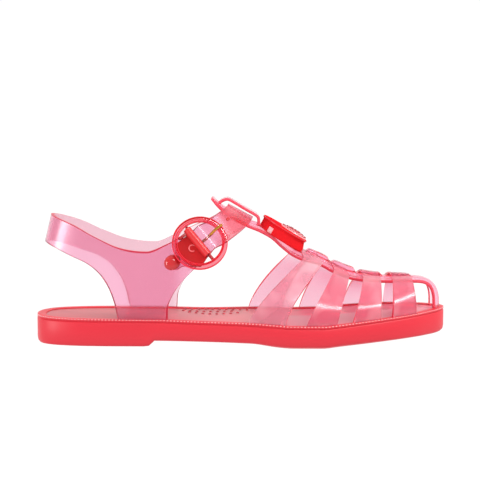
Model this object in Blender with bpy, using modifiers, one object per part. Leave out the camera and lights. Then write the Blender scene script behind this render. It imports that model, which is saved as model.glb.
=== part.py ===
"""A moulded fisherman sandal, right shoe: sole, footbed, cage upper, ankle strap, ring buckle, medallion."""

import math
from collections import namedtuple

import bmesh
import bpy
from mathutils import Matrix, Vector

# Tables and named sizes are in millimetres. The mesh is in metres: +X toe, +Y inner side, +Z up.
MM = 0.001
FIT_GAP = 0.3
BASE_GAP = 0.65

# The origin: below the middle of the whole shoe, on the ground.
ORIGIN = Vector((0.5, -1.3, 0.0))

SOLE_LENGTH = 256.2
HEEL_END = -127.6
OUTLINE_STEPS = 46
RIM_WIDTH = 5.5
FOOTBED_RECESS = 2.5
FOOTBED_BELOW_RIM = 0.5
FOOTBED_ROUND = 0.6
GROOVE_DEPTH = 0.5

# Sole stations: both edges of the outline, rim and underside heights, lift and inset of the underside's edge.
Station = namedtuple("Station", "x outer inner rim under lift flat_inset")
SOLE = (
    Station(-127.6, 0.0, 0.0, 17.3, 0.0, 0.2, 1.4),
    Station(-126.0, -10.2, 10.2, 17.3, 0.0, 0.2, 1.4),
    Station(-123.0, -16.0, 16.0, 17.2, 0.0, 0.2, 1.5),
    Station(-119.0, -19.8, 19.8, 17.2, 0.0, 0.2, 1.6),
    Station(-111.0, -24.0, 24.0, 17.1, 0.0, 0.3, 2.2),
    Station(-99.0, -27.2, 27.2, 17.0, 0.0, 0.4, 3.0),
    Station(-80.0, -28.8, 28.8, 16.9, 0.0, 0.4, 3.0),
    Station(-57.0, -29.4, 28.0, 16.8, 0.0, 0.4, 3.0),
    Station(-52.5, -29.7, 27.7, 16.8, 3.6, 0.4, 3.0),
    Station(-25.0, -32.5, 28.0, 16.2, 3.5, 0.4, 3.0),
    Station(6.0, -37.5, 33.0, 15.8, 3.0, 0.7, 5.0),
    Station(22.0, -40.2, 37.2, 15.0, 0.7, 1.5, 9.0),
    Station(31.0, -41.3, 39.2, 14.5, 0.0, 1.7, 11.0),
    Station(50.0, -42.0, 42.0, 14.5, 0.0, 1.9, 11.0),
    Station(60.0, -40.6, 42.6, 15.3, 1.0, 1.8, 10.0),
    Station(72.0, -37.6, 41.8, 16.4, 2.1, 1.4, 8.0),
    Station(92.0, -30.4, 38.0, 18.1, 3.6, 0.9, 6.0),
    Station(107.5, -21.4, 31.0, 19.1, 4.3, 0.7, 5.0),
    Station(118.0, -12.4, 23.4, 19.8, 4.6, 0.6, 4.0),
    Station(124.5, -5.2, 16.9, 20.2, 4.9, 0.6, 3.0),
    Station(128.6, 6.2, 6.2, 20.5, 5.3, 0.6, 3.0),
)

# Side of the sole from the ground to the recess: inset from the outline, share of the underside's own inset,
# the height it starts from, share of the underside's lift, and rise over that height.
Side = namedtuple("Side", "inset flat_share start lift_share rise")
SIDES = (
    Side(0.0, 1.0, "under", 0.0, 0.0),
    Side(0.8, 0.06, "under", 0.75, 0.2),
    Side(0.3, 0.0, "under", 1.0, 1.1),
    Side(0.0, 0.0, "under", 1.0, 3.0),
    Side(0.0, 0.0, "rim", 0.0, -2.3),
    Side(GROOVE_DEPTH, 0.0, "rim", 0.0, -1.8),
    Side(0.0, 0.0, "rim", 0.0, -1.3),
    Side(0.0, 0.0, "rim", 0.0, -0.5),
    Side(0.6, 0.0, "rim", 0.0, 0.0),
    Side(RIM_WIDTH, 0.0, "rim", 0.0, 0.0),
    Side(RIM_WIDTH, 0.0, "rim", 0.0, -FOOTBED_RECESS),
)

WALL = 2.2
STRAP_INSET = 3.9
SPINE_HALF = 10.0
STRAP_BULGE = 2.0
STRAP_LEAN = 1.15
STRAP_REACH = 0.5
STRAP_SHOULDER = 0.16
STRAP_UPRIGHT = 0.5
STEP_RUN = 0.5
TAB_CELLS = 20
STRAP_CELLS = 4
GAP_CELLS = 2
TOE_CELLS = 12
SPINE_CELLS = 6
SIDE_CELLS = 8
RAISE_CELLS = 2

# Inner face of the centre strip along its middle, from pull tab to toe, with its sag and sideways place.
Crest = namedtuple("Crest", "x z sag y")
CREST = (
    Crest(-18.4, 88.6, 0.3, 0.0),
    Crest(-13.6, 84.0, 0.8, 0.0),
    Crest(-7.0, 79.6, 1.2, 0.0),
    Crest(1.0, 75.0, 1.3, 0.0),
    Crest(12.0, 70.8, 1.4, 0.0),
    Crest(19.0, 67.0, 1.6, 0.0),
    Crest(25.0, 61.6, 1.8, 0.0),
    Crest(31.0, 56.6, 2.0, 0.0),
    Crest(38.0, 52.8, 2.0, 0.3),
    Crest(50.0, 48.4, 2.0, 0.8),
    Crest(57.0, 44.6, 2.0, 1.2),
    Crest(68.0, 40.7, 2.0, 1.8),
    Crest(87.0, 38.3, 1.7, 3.0),
    Crest(107.0, 37.9, 1.3, 4.2),
    Crest(113.0, 37.3, 1.1, 4.6),
    Crest(118.0, 35.6, 0.9, 4.9),
    Crest(121.6, 32.0, 0.7, 5.2),
    Crest(123.3, 26.6, 0.6, 5.4),
    Crest(123.6, 20.9, 0.5, 5.5),
)
TOE_START = 107.0
TOE_PULL = 3.4
TOE_NARROW = 0.9

# Cross straps: where each leaves the centre strip, where it meets the rim, and its rise at the crossing.
Cross = namedtuple("Cross", "top_back top_front base_back base_front raise_back raise_front")
CROSSINGS = (
    Cross(38.2, 50.0, 8.4, 27.4, 2.1, 1.2),
    Cross(57.1, 67.0, 39.5, 57.6, 2.5, 0.4),
    Cross(75.9, 87.3, 67.4, 84.3, 1.9, 0.4),
    Cross(94.6, 107.1, 92.0, 107.2, 1.4, 0.3),
)
INNER_BASE_BACK = 1.5

# Keeper: its side view over the centre strip.
Knee = namedtuple("Knee", "x z")
KEEPER = (
    Knee(11.2, 72.6),
    Knee(11.0, 75.6),
    Knee(9.8, 78.3),
    Knee(2.0, 83.1),
    Knee(-6.0, 87.6),
    Knee(-9.6, 88.0),
    Knee(-12.6, 86.4),
    Knee(-13.4, 84.6),
)
KEEPER_WALL = 1.4
KEEPER_HALF = 6.0
KEEPER_CELLS = 18

# Inner face of one side of the back piece, heel first: lower edge and upper edge.
Quarter = namedtuple("Quarter", "low_x low_y low_z high_x high_y high_z")
QUARTER = (
    Quarter(-120.4, 0.0, 62.3, -116.3, 0.0, 79.2),
    Quarter(-117.0, 10.8, 61.0, -112.8, 10.2, 77.8),
    Quarter(-104.2, 18.6, 55.2, -101.2, 17.6, 73.4),
    Quarter(-93.5, 22.6, 50.8, -91.5, 21.4, 68.2),
    Quarter(-85.1, 24.6, 44.2, -84.0, 23.6, 64.7),
    Quarter(-79.8, 25.4, 36.1, -77.0, 26.0, 61.8),
    Quarter(-75.9, 25.2, 25.4, -71.5, 27.6, 60.3),
    Quarter(-73.6, 24.7, 17.6, -66.2, 28.6, 59.4),
    Quarter(-64.0, 25.0, 17.5, -61.5, 29.2, 58.9),
    Quarter(-54.0, 25.2, 17.4, -56.5, 29.6, 58.8),
    Quarter(-44.5, 25.6, 17.4, -52.0, 30.0, 60.0),
    Quarter(-44.0, 28.0, 24.4, -48.0, 30.3, 61.8),
    Quarter(-40.9, 30.0, 32.4, -44.0, 30.5, 63.6),
    Quarter(-34.7, 32.0, 41.2, -40.0, 30.8, 65.4),
    Quarter(-28.0, 33.0, 48.2, -36.0, 30.6, 67.3),
)
INNER_SIDE_FORWARD = 3.5
FORWARD_RUN = 45.0
FORWARD_AT_TOP = 0.5
INNER_SIDE_IN = 1.2
HEEL_TURN_HALF = 20.0
LEG_BULGE = 1.2
LEG_ROW = 8.0
LEG_ROWS = 6.0
BAND_WALL = 2.2
BAND_CELLS = 4
BAND_FINE = 2

# Ring buckle: its middle, its tilt back from upright, and the strap's way up through it.
RING_PLACE = Vector((-24.4, -36.8, 64.7))
RING_TILT = math.radians(25.0)
RING_OUTER = 16.75
RING_INNER = 13.4
RING_HALF = 1.7
RING_GROOVE = 0.5
RING_LIP = 0.4
RING_EDGE = 0.6
RING_STEPS = 48
STRAP_RISE = math.radians(38.5)
STRAP_HALF = 8.7
STRAP_WALL = 2.2
STRAP_CLEAR = 0.35
STRAP_UNDER_RING = -(RING_HALF + STRAP_CLEAR + STRAP_WALL / 2)
STRAP_HUMP = 4.4
HUMP_REACH = 9.8
STRAP_TIP = -25.5
TAPER_START = -9.5
TAPER_LENGTH = 8.5
TIP_HALF = 4.6
TIP_BLUNT = 0.94
TIP_DROP = 3.6
TIP_CURVE = 1.3
DROP_START = -RING_OUTER + 2.0
RING_STRAP_STEP = 1.6
ARCH_STEPS = 7
HOLE_RADIUS = 1.3
HOLE_PLACE = 22.0
SLOT_BACK = 2.6
SLOT_FRONT = 8.4
SLOT_OUT = -1.0
CUT_DEPTH = 8.5
TONGUE_END = -2.4
TONGUE_ROOT = -8.0
TONGUE_DEPTH = 6.6
TONGUE_HALF = 8.0
TONGUE_FLARE = 0.6
BAR_RADIUS = 1.0
BAR_DEPTH = 1.2
ROD_SIDES = 20
PRONG_RADIUS = 0.9
PRONG_CELLS = 3
Prong = namedtuple("Prong", "along out")
PRONG_PATH = (
    Prong(2.4, -2.0),
    Prong(5.5, -1.2),
    Prong(9.0, 0.9),
    Prong(12.4, 2.9),
    Prong(14.6, 3.0),
    Prong(17.0, 2.95),
)
STRAP_OVER_KEEPER = Vector((-0.9, 0.0, 79.7))
INSTEP_SLOPE = math.radians(28.0)

# Ring directions: along the strap towards the keeper, across the strap upwards, and out of the ring.
RING_OUT = Vector((0.0, -math.cos(RING_TILT), math.sin(RING_TILT)))
RING_UP = Vector((0.0, math.sin(RING_TILT), math.cos(RING_TILT)))
RING_ALONG = Vector((1.0, 0.0, 0.0)) * math.cos(STRAP_RISE) + RING_UP * math.sin(STRAP_RISE)
RING_ACROSS = RING_OUT.cross(RING_ALONG)

# Medallion over the centre strip.
MEDALLION_PLACE = Vector((27.4, 0.0, 68.2))
MEDALLION_TILT = math.radians(31.5)
MEDALLION_RADIUS = 14.5
MEDALLION_HALF = 3.0
MEDALLION_STEPS = 40
STEM_RADIUS = 5.5
STEM_SIDES = 16
STEM_INTO = 1.2
STEM_CLEAR = 0.45
STEM_STEP = 0.05
SLOPE_STEP = 0.05

# Medallion from the middle of its underside round its edge to the middle of its top: share of the radius,
# distance in from there, the face that its height starts from (-1 under, 1 top) and the depth below it.
Turn = namedtuple("Turn", "share inset face depth")
MEDALLION_SIDE = (
    Turn(0.0, 0.0, -1, 0.0),
    Turn(1.0, 1.4, -1, 0.0),
    Turn(1.0, 0.3, -1, 0.9),
    Turn(1.0, 0.0, -1, 2.0),
    Turn(1.0, 0.0, 1, 1.0),
    Turn(1.0, 0.3, 1, 0.3),
    Turn(1.0, 1.0, 1, 0.0),
    Turn(1.0, 2.6, 1, 0.0),
    Turn(1.0, 3.2, 1, 0.6),
    Turn(0.4, 0.0, 1, 0.1),
    Turn(0.0, 0.0, 1, 0.0),
)


def slopes_of(keys, values):
    """Slopes of a monotone cubic through the values."""
    runs = [(b - a) for a, b in zip(keys, keys[1:])]
    rates = [(d - c) / run for c, d, run in zip(values, values[1:], runs)]
    slopes = [rates[0]]
    for i in range(1, len(rates)):
        before, after = rates[i - 1], rates[i]
        if before * after <= 0:
            slopes.append(0.0)
        else:
            w1, w2 = 2 * runs[i] + runs[i - 1], runs[i] + 2 * runs[i - 1]
            slopes.append((w1 + w2) / (w1 / before + w2 / after))
    return slopes + [rates[-1]]


def smooth(keys, values, at):
    """The monotone cubic through the values, read at one key."""
    slopes = slopes_of(keys, values)
    at = min(max(at, keys[0]), keys[-1])
    i = 0
    while i < len(keys) - 2 and at > keys[i + 1]:
        i += 1
    run = keys[i + 1] - keys[i]
    t = (at - keys[i]) / run
    near = (1 + 2 * t) * (1 - t) ** 2 * values[i] + t * (1 - t) ** 2 * run * slopes[i]
    far = t * t * (3 - 2 * t) * values[i + 1] - t * t * (1 - t) * run * slopes[i + 1]
    return near + far


def turn_of(x):
    """Angle around the sole that belongs to a place along it: even at the rounded ends."""
    share = min(max((x - HEEL_END) / SOLE_LENGTH, 0.0), 1.0)
    return math.acos(1 - 2 * share)


SOLE_TURNS = [turn_of(row.x) for row in SOLE]


def sole_at(x, column):
    if column in ("outer", "inner"):
        return smooth(SOLE_TURNS, [getattr(row, column) for row in SOLE], turn_of(x))
    return smooth([row.x for row in SOLE], [getattr(row, column) for row in SOLE], x)


def outline():
    """The sole's outline seen from above, round from the heel along the outer side to the toe and back."""
    turns = [math.pi * i / OUTLINE_STEPS for i in range(OUTLINE_STEPS + 1)]
    places = [HEEL_END + SOLE_LENGTH * (1 - math.cos(turn)) / 2 for turn in turns]
    outer = [Vector((x, sole_at(x, "outer"))) for x in places]
    inner = [Vector((x, sole_at(x, "inner"))) for x in places[1:-1]]
    return outer + inner[::-1]


def inset_ring(points, inset):
    """The outline moved inwards by an inset that may vary from place to place."""
    ring = []
    count = len(points)
    for i, point in enumerate(points):
        along = (points[(i + 1) % count] - points[i - 1]).normalized()
        ring.append(point + Vector((-along.y, along.x)) * inset(point.x))
    return ring


def object_of(name, verts, faces, collection):
    mesh = bpy.data.meshes.new(name)
    mesh.from_pydata([Vector(v) * MM for v in verts], [], faces)
    mesh.update()
    made = bpy.data.objects.new(name, mesh)
    collection.objects.link(made)
    return made


def face_out(made):
    """Turns the faces of a closed mesh outwards."""
    bm = bmesh.new()
    bm.from_mesh(made.data)
    bmesh.ops.recalc_face_normals(bm, faces=bm.faces)
    bm.to_mesh(made.data)
    bm.free()


def cap_across(first, count):
    """Faces across a ring that runs round from the heel: strips from the outer side to the inner side."""
    half = count // 2
    faces = [(first, first + 1, first + count - 1)]
    for i in range(1, half - 1):
        faces.append((first + i, first + i + 1, first + count - i - 1, first + count - i))
    faces.append((first + half - 1, first + half, first + half + 1))
    return faces


def loft_rings(name, rings, collection):
    """A closed solid through rings of equal count, capped across at both ends."""
    count = len(rings[0])
    verts = [v for ring in rings for v in ring]
    faces = []
    for r in range(len(rings) - 1):
        a, b = r * count, (r + 1) * count
        faces += [(a + i, a + (i + 1) % count, b + (i + 1) % count, b + i) for i in range(count)]
    faces += cap_across(0, count)
    faces += cap_across((len(rings) - 1) * count, count)
    made = object_of(name, verts, faces, collection)
    face_out(made)
    return made


def make_outsole(collection):
    edge = outline()
    rings = []
    for side in SIDES:
        flat = inset_ring(edge, lambda x: side.inset + side.flat_share * sole_at(x, "flat_inset"))
        starts = [sole_at(p.x, side.start) + side.rise for p in edge]
        lifts = [sole_at(p.x, "lift") * side.lift_share for p in edge]
        rings.append([(p.x, p.y, a + b) for p, a, b in zip(flat, starts, lifts)])
    return loft_rings("outsole", rings, collection)


def make_footbed(collection):
    edge = outline()

    def ring(inset, drop):
        flat = inset_ring(edge, lambda x: inset)
        return [(p.x, p.y, sole_at(q.x, "rim") - drop) for p, q in zip(flat, edge)]

    rings = [
        ring(RIM_WIDTH + FIT_GAP, FOOTBED_RECESS - FIT_GAP),
        ring(RIM_WIDTH + FIT_GAP, FOOTBED_BELOW_RIM + FOOTBED_ROUND),
        ring(RIM_WIDTH + FIT_GAP + FOOTBED_ROUND, FOOTBED_BELOW_RIM),
    ]
    return loft_rings("footbed", rings, collection)


def crest_at(run):
    """Place along the centre strip at a share of its rows: x, z, sag and y."""
    rows = list(range(len(CREST)))
    return Crest(*(smooth(rows, [row[c] for row in CREST], run) for c in range(4)))


def run_of(x):
    """The share along the centre strip whose x is this."""
    low, high = 0.0, len(CREST) - 1.0
    for _ in range(40):
        middle = (low + high) / 2
        if crest_at(middle).x < x:
            low = middle
        else:
            high = middle
    return low


def spine_point(run, across):
    """A point of the centre strip's inner face; across is -1 at the outer edge and 1 at the inner edge."""
    crest = crest_at(run)
    toe = min(max((crest.x - TOE_START) / (CREST[-1].x - TOE_START), 0.0), 1.0)
    pull = TOE_PULL * toe * toe * across * across
    half = SPINE_HALF - TOE_NARROW * toe
    return Vector((crest.x - pull, crest.y + across * half, crest.z - crest.sag * across * across))


def strap_point(run, side, base_x, share):
    """A point of a cross strap's inner face, from the centre strip's edge (0) to the rim (1)."""
    start = spine_point(run, side)
    edge_y = sole_at(base_x, "outer" if side < 0 else "inner")
    base = Vector((base_x, edge_y - side * STRAP_INSET, sole_at(base_x, "rim") + BASE_GAP))
    reach, drop = abs(base.y - start.y), start.z - base.z
    first = start + Vector((0.0, side * reach * STRAP_REACH, -drop * STRAP_SHOULDER))
    second = base + Vector((0.0, side * STRAP_BULGE, drop * STRAP_UPRIGHT))
    t = share
    point = start * (1 - t) ** 3 + first * 3 * t * (1 - t) ** 2 + second * 3 * t * t * (1 - t) + base * t ** 3
    height = (point.z - base.z) / drop
    point.x = base.x + (start.x - base.x) * height ** STRAP_LEAN
    return point


def vamp_columns():
    """Rows along the centre strip: share along it, strap number or None, share across the strap, rise."""
    columns = []
    starts = [run_of(c.top_back) for c in CROSSINGS]
    ends = [run_of(c.top_front) for c in CROSSINGS]

    def plain(a, b, cells):
        return [(a + (b - a) * i / cells, None, 0.0, 0.0) for i in range(cells + 1)]

    before = [run_of(c.top_back - STEP_RUN) for c in CROSSINGS]
    after = [run_of(c.top_front + STEP_RUN) for c in CROSSINGS]
    columns += plain(0.0, before[0], TAB_CELLS)
    for k, crossing in enumerate(CROSSINGS):
        for i in range(STRAP_CELLS + 1):
            share = i / STRAP_CELLS
            lift = crossing.raise_back + (crossing.raise_front - crossing.raise_back) * share
            columns.append((starts[k] + (ends[k] - starts[k]) * share, k, share, lift))
        if k + 1 < len(CROSSINGS):
            columns += plain(after[k], before[k + 1], GAP_CELLS)
    columns += plain(after[-1], len(CREST) - 1.0, TOE_CELLS)
    return columns


def make_vamp(collection):
    verts, walls, faces = [], [], []
    grid = []
    columns = vamp_columns()
    spine_rows = range(-SPINE_CELLS // 2, SPINE_CELLS // 2 + 1)
    for run, strap, share, lift in columns:
        places = {}
        for row in spine_rows:
            across = row / (SPINE_CELLS / 2)
            places[row] = len(verts)
            verts.append(spine_point(run, across))
            walls.append(WALL + lift)
        if strap is not None:
            crossing = CROSSINGS[strap]
            for side in (-1, 1):
                base_x = crossing.base_back + (crossing.base_front - crossing.base_back) * share
                base_x -= INNER_BASE_BACK if side > 0 else 0.0
                for cell in range(1, SIDE_CELLS + 1):
                    row = side * (SPINE_CELLS // 2 + cell)
                    places[row] = len(verts)
                    verts.append(strap_point(run, side, base_x, cell / SIDE_CELLS))
                    walls.append(WALL + lift * max(0.0, 1 - cell / RAISE_CELLS))
        grid.append(places)
    for a, b in zip(grid, grid[1:]):
        for row in range(-SPINE_CELLS // 2 - SIDE_CELLS, SPINE_CELLS // 2 + SIDE_CELLS):
            corners = (a.get(row), b.get(row), b.get(row + 1), a.get(row + 1))
            if None not in corners:
                faces.append(corners)
    made = object_of("vamp", verts, faces, collection)
    thickest = max(walls)
    group = made.vertex_groups.new(name="wall")
    for i, wall in enumerate(walls):
        group.add([i], wall / thickest, "REPLACE")
    shell = made.modifiers.new("wall", "SOLIDIFY")
    shell.thickness = thickest * MM
    shell.offset = 1.0
    shell.vertex_group = "wall"
    shell.use_even_offset = False
    return made


def make_keeper(collection):
    verts, faces = [], []
    rows = list(range(len(KEEPER)))
    for i in range(KEEPER_CELLS + 1):
        at = i * (len(KEEPER) - 1) / KEEPER_CELLS
        x = smooth(rows, [k.x for k in KEEPER], at)
        z = smooth(rows, [k.z for k in KEEPER], at)
        verts += [(x, -KEEPER_HALF, z), (x, KEEPER_HALF, z)]
    for i in range(KEEPER_CELLS):
        a = 2 * i
        faces.append((a, a + 1, a + 3, a + 2))
    made = object_of("keeper_strip", verts, faces, collection)
    shell = made.modifiers.new("wall", "SOLIDIFY")
    shell.thickness = KEEPER_WALL * MM
    shell.offset = 0.0
    return made


def ring_point(along, across, out):
    return RING_PLACE + RING_ALONG * along + RING_ACROSS * across + RING_OUT * out


def strap_height(along):
    """Height of the strap's middle over the ring's middle plane where it passes the ring."""
    height = STRAP_UNDER_RING
    if abs(along) < HUMP_REACH:
        height += STRAP_HUMP * (1 + math.cos(math.pi * along / HUMP_REACH)) / 2
    if along < DROP_START:
        share = (DROP_START - along) / (DROP_START - STRAP_TIP)
        height -= TIP_DROP * share ** TIP_CURVE
    return height


def strap_width(along):
    """Half of the strap's width, narrowing to a rounded tip."""
    into_taper = min(max((TAPER_START - along) / TAPER_LENGTH, 0.0), 1.0)
    half = STRAP_HALF - (STRAP_HALF - TIP_HALF) * into_taper ** 2 * (3 - 2 * into_taper)
    into_round = min(max((STRAP_TIP + TIP_HALF - along) / TIP_HALF, 0.0), TIP_BLUNT)
    return half * math.sqrt(1 - into_round ** 2)


def mirrored(point):
    return Vector((point.x, -point.y, point.z))


def hermite(a, a_way, b, b_way, t):
    t2, t3 = t * t, t * t * t
    return a * (2 * t3 - 3 * t2 + 1) + a_way * (t3 - 2 * t2 + t) + b * (3 * t2 - 2 * t3) + b_way * (t3 - t2)


def band_rows():
    """Both edges of the back piece, from the tongue round the heel and over the instep to the strap's tip."""
    def side_row(row, side):
        onward = min(1.0, (row.low_x - QUARTER[0].low_x) / FORWARD_RUN)
        forward = INNER_SIDE_FORWARD * onward if side > 0 else 0.0
        inward = INNER_SIDE_IN if side > 0 and row.low_y > HEEL_TURN_HALF else 0.0
        low = Vector((row.low_x + forward, side * (row.low_y - inward), row.low_z))
        high = Vector((row.high_x + forward * FORWARD_AT_TOP, side * row.high_y, row.high_z))
        return low, high

    rows = []
    for along, half in ((TONGUE_END, TONGUE_HALF), (TONGUE_ROOT, TONGUE_HALF + TONGUE_FLARE)):
        rows.append((ring_point(along, -half, -TONGUE_DEPTH), ring_point(along, half, -TONGUE_DEPTH)))
    rows += [side_row(row, -1) for row in QUARTER[::-1]]
    rows += [side_row(row, 1) for row in QUARTER[1:]]
    strap_in = STRAP_UNDER_RING - STRAP_WALL / 2
    turn = Vector((-math.cos(INSTEP_SLOPE), 0.0, math.sin(INSTEP_SLOPE)))
    start = ring_point(RING_OUTER, 0.0, strap_in)
    way = (start - STRAP_OVER_KEEPER).length
    for i in range(2 * ARCH_STEPS + 1):
        t = 1 - abs(i - ARCH_STEPS) / ARCH_STEPS
        middle = hermite(start, RING_ALONG * way, STRAP_OVER_KEEPER, Vector((0.0, way, 0.0)), t)
        across = (RING_ACROSS * (1 - t) + turn * t).normalized()
        pair = (middle - across * STRAP_HALF, middle + across * STRAP_HALF)
        rows.append(tuple(mirrored(p) for p in pair) if i < ARCH_STEPS else pair)
    along = RING_OUTER
    while along > STRAP_TIP:
        along = max(along - RING_STRAP_STEP, STRAP_TIP)
        half = strap_width(along)
        height = strap_height(along) - STRAP_WALL / 2
        rows.append((ring_point(along, -half, height), ring_point(along, half, height)))
    return rows


def make_quarters(collection):
    rows = band_rows()
    fine_until = len(QUARTER) * 2 + 2
    keys = list(range(len(rows)))
    places = []
    for i in range(len(rows) - 1):
        cells = BAND_FINE if i < fine_until else 1
        places += [i + c / cells for c in range(cells)]
    places.append(len(rows) - 1)
    verts, faces = [], []
    heel_row = len(QUARTER) + 1
    for at in places:
        low = Vector([smooth(keys, [row[0][axis] for row in rows], at) for axis in range(3)])
        high = Vector([smooth(keys, [row[1][axis] for row in rows], at) for axis in range(3)])
        side = -1 if at < heel_row else 1
        leg = max(0.0, 1 - abs(abs(at - heel_row) - LEG_ROW) / LEG_ROWS)
        for cell in range(BAND_CELLS + 1):
            share = cell / BAND_CELLS
            out = Vector((0.0, side * LEG_BULGE * leg * 4 * share * (1 - share), 0.0))
            verts.append(low.lerp(high, share) + out)
    row_count = BAND_CELLS + 1
    for i in range(len(places) - 1):
        a, b = i * row_count, (i + 1) * row_count
        faces += [(a + c, a + c + 1, b + c + 1, b + c) for c in range(BAND_CELLS)]
    made = object_of("quarters", verts, faces, collection)
    shell = made.modifiers.new("wall", "SOLIDIFY")
    shell.thickness = BAND_WALL * MM
    shell.offset = 1.0
    shell.use_even_offset = False
    return made


def ring_matrix(along, across, out):
    """Turns a shape made on the Z axis to stand on the ring's plane, scaled to metres."""
    turn = Matrix((RING_ALONG, RING_ACROSS, RING_OUT)).transposed().to_4x4()
    return Matrix.Translation(ring_point(along, across, out) * MM) @ turn


def spun(name, profile, steps, matrix, collection):
    """A turned solid: a closed side view spun about the Z axis, then placed."""
    bm = bmesh.new()
    verts = [bm.verts.new((r * MM, 0.0, h * MM)) for r, h in profile]
    edges = [bm.edges.new((a, b)) for a, b in zip(verts, verts[1:])]
    if profile[0][0] > 0:
        edges.append(bm.edges.new((verts[-1], verts[0])))
    bmesh.ops.spin(
        bm, geom=verts + edges, cent=(0, 0, 0), axis=(0, 0, 1), angle=2 * math.pi, steps=steps, use_merge=True
    )
    bmesh.ops.remove_doubles(bm, verts=bm.verts, dist=1e-6)
    bmesh.ops.recalc_face_normals(bm, faces=bm.faces)
    bmesh.ops.transform(bm, matrix=matrix, verts=bm.verts)
    mesh = bpy.data.meshes.new(name)
    bm.to_mesh(mesh)
    bm.free()
    made = bpy.data.objects.new(name, mesh)
    collection.objects.link(made)
    return made


def rod(name, radius, length, matrix, collection):
    bm = bmesh.new()
    ends = radius * MM
    bmesh.ops.create_cone(
        bm, cap_ends=True, segments=ROD_SIDES, radius1=ends, radius2=ends, depth=length * MM, matrix=matrix
    )
    mesh = bpy.data.meshes.new(name)
    bm.to_mesh(mesh)
    bm.free()
    made = bpy.data.objects.new(name, mesh)
    collection.objects.link(made)
    return made


def block(name, size, matrix, collection):
    bm = bmesh.new()
    bmesh.ops.create_cube(bm, size=1.0, matrix=matrix @ Matrix.Diagonal((*[s * MM for s in size], 1.0)))
    mesh = bpy.data.meshes.new(name)
    bm.to_mesh(mesh)
    bm.free()
    made = bpy.data.objects.new(name, mesh)
    collection.objects.link(made)
    return made


def join(made, other, operation):
    boolean = made.modifiers.new(other.name, "BOOLEAN")
    boolean.operation = operation
    boolean.solver = "EXACT"
    boolean.object = other


def make_ring(collection):
    middle = (RING_OUTER + RING_INNER) / 2
    profile = (
        (RING_INNER, -RING_HALF + RING_EDGE),
        (RING_INNER + RING_LIP, -RING_HALF),
        (RING_OUTER - RING_EDGE, -RING_HALF),
        (RING_OUTER, -RING_HALF + RING_EDGE),
        (RING_OUTER, RING_HALF - RING_EDGE),
        (RING_OUTER - RING_EDGE, RING_HALF),
        (middle + RING_LIP, RING_HALF),
        (middle, RING_HALF - RING_GROOVE),
        (middle - RING_LIP, RING_HALF),
        (RING_INNER + RING_LIP, RING_HALF),
        (RING_INNER, RING_HALF - RING_EDGE),
    )
    return spun("buckle_ring", profile, RING_STEPS, ring_matrix(0.0, 0.0, 0.0), collection)


def make_bar(collection):
    lie = ring_matrix(0.0, 0.0, -BAR_DEPTH) @ Matrix.Rotation(math.pi / 2, 4, "X")
    return rod("buckle_bar", BAR_RADIUS, 2 * (RING_INNER - FIT_GAP), lie, collection)


def make_prong(collection):
    line = bpy.data.curves.new("buckle_prong", "CURVE")
    line.dimensions = "3D"
    line.bevel_depth = PRONG_RADIUS * MM
    line.bevel_resolution = 3
    line.use_fill_caps = True
    path = line.splines.new("POLY")
    keys = list(range(len(PRONG_PATH)))
    places = [i / PRONG_CELLS for i in range((len(PRONG_PATH) - 1) * PRONG_CELLS + 1)]
    path.points.add(len(places) - 1)
    for point, at in zip(path.points, places):
        along, out = (smooth(keys, [row[c] for row in PRONG_PATH], at) for c in (0, 1))
        point.co = (*(ring_point(along, 0.0, out) * MM), 1.0)
    made = bpy.data.objects.new("buckle_prong", line)
    collection.objects.link(made)
    return made


def strip_top(x, y):
    """Height of the centre strip's outer face over a place."""
    run = run_of(x)
    crest = crest_at(run)
    ahead, behind = crest_at(run + SLOPE_STEP), crest_at(run - SLOPE_STEP)
    slope = (ahead.z - behind.z) / (ahead.x - behind.x)
    return crest.z - crest.sag * (y / SPINE_HALF) ** 2 + WALL * math.sqrt(1 + slope * slope)


def make_medallion(collection, helpers):
    turn = Matrix.Translation(MEDALLION_PLACE * MM) @ Matrix.Rotation(MEDALLION_TILT, 4, "Y")
    radii = [MEDALLION_RADIUS * row.share - row.inset for row in MEDALLION_SIDE]
    profile = list(zip(radii, [row.face * (MEDALLION_HALF - row.depth) for row in MEDALLION_SIDE]))
    made = spun("medallion", profile, MEDALLION_STEPS, turn, collection)
    rings = [[], []]
    count = STEM_SIDES
    down = turn.to_3x3() @ Vector((0.0, 0.0, -1.0))
    for i in range(count):
        angle = 2 * math.pi * i / count
        out = Vector((math.cos(angle), math.sin(angle), 0.0)) * STEM_RADIUS
        top = turn @ ((out + Vector((0.0, 0.0, STEM_INTO - MEDALLION_HALF))) * MM) / MM
        foot = top.copy()
        while foot.z > strip_top(foot.x, foot.y) + STEM_CLEAR:
            foot += down * STEM_STEP
        rings[0].append(foot)
        rings[1].append(top)
    verts = rings[0] + rings[1]
    faces = [(i, (i + 1) % count, count + (i + 1) % count, count + i) for i in range(count)]
    faces += [tuple(range(count - 1, -1, -1)), tuple(range(count, 2 * count))]
    stem = object_of("medallion_stem", verts, faces, helpers)
    face_out(stem)
    join(made, stem, "UNION")
    return made


def finish(made, name, color, roughness, metallic=0.0):
    material = bpy.data.materials.new(name)
    material.use_nodes = True
    shader = material.node_tree.nodes["Principled BSDF"]
    shader.inputs["Base Color"].default_value = (*color, 1.0)
    shader.inputs["Roughness"].default_value = roughness
    shader.inputs["Metallic"].default_value = metallic
    made.data.materials.append(material)


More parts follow.
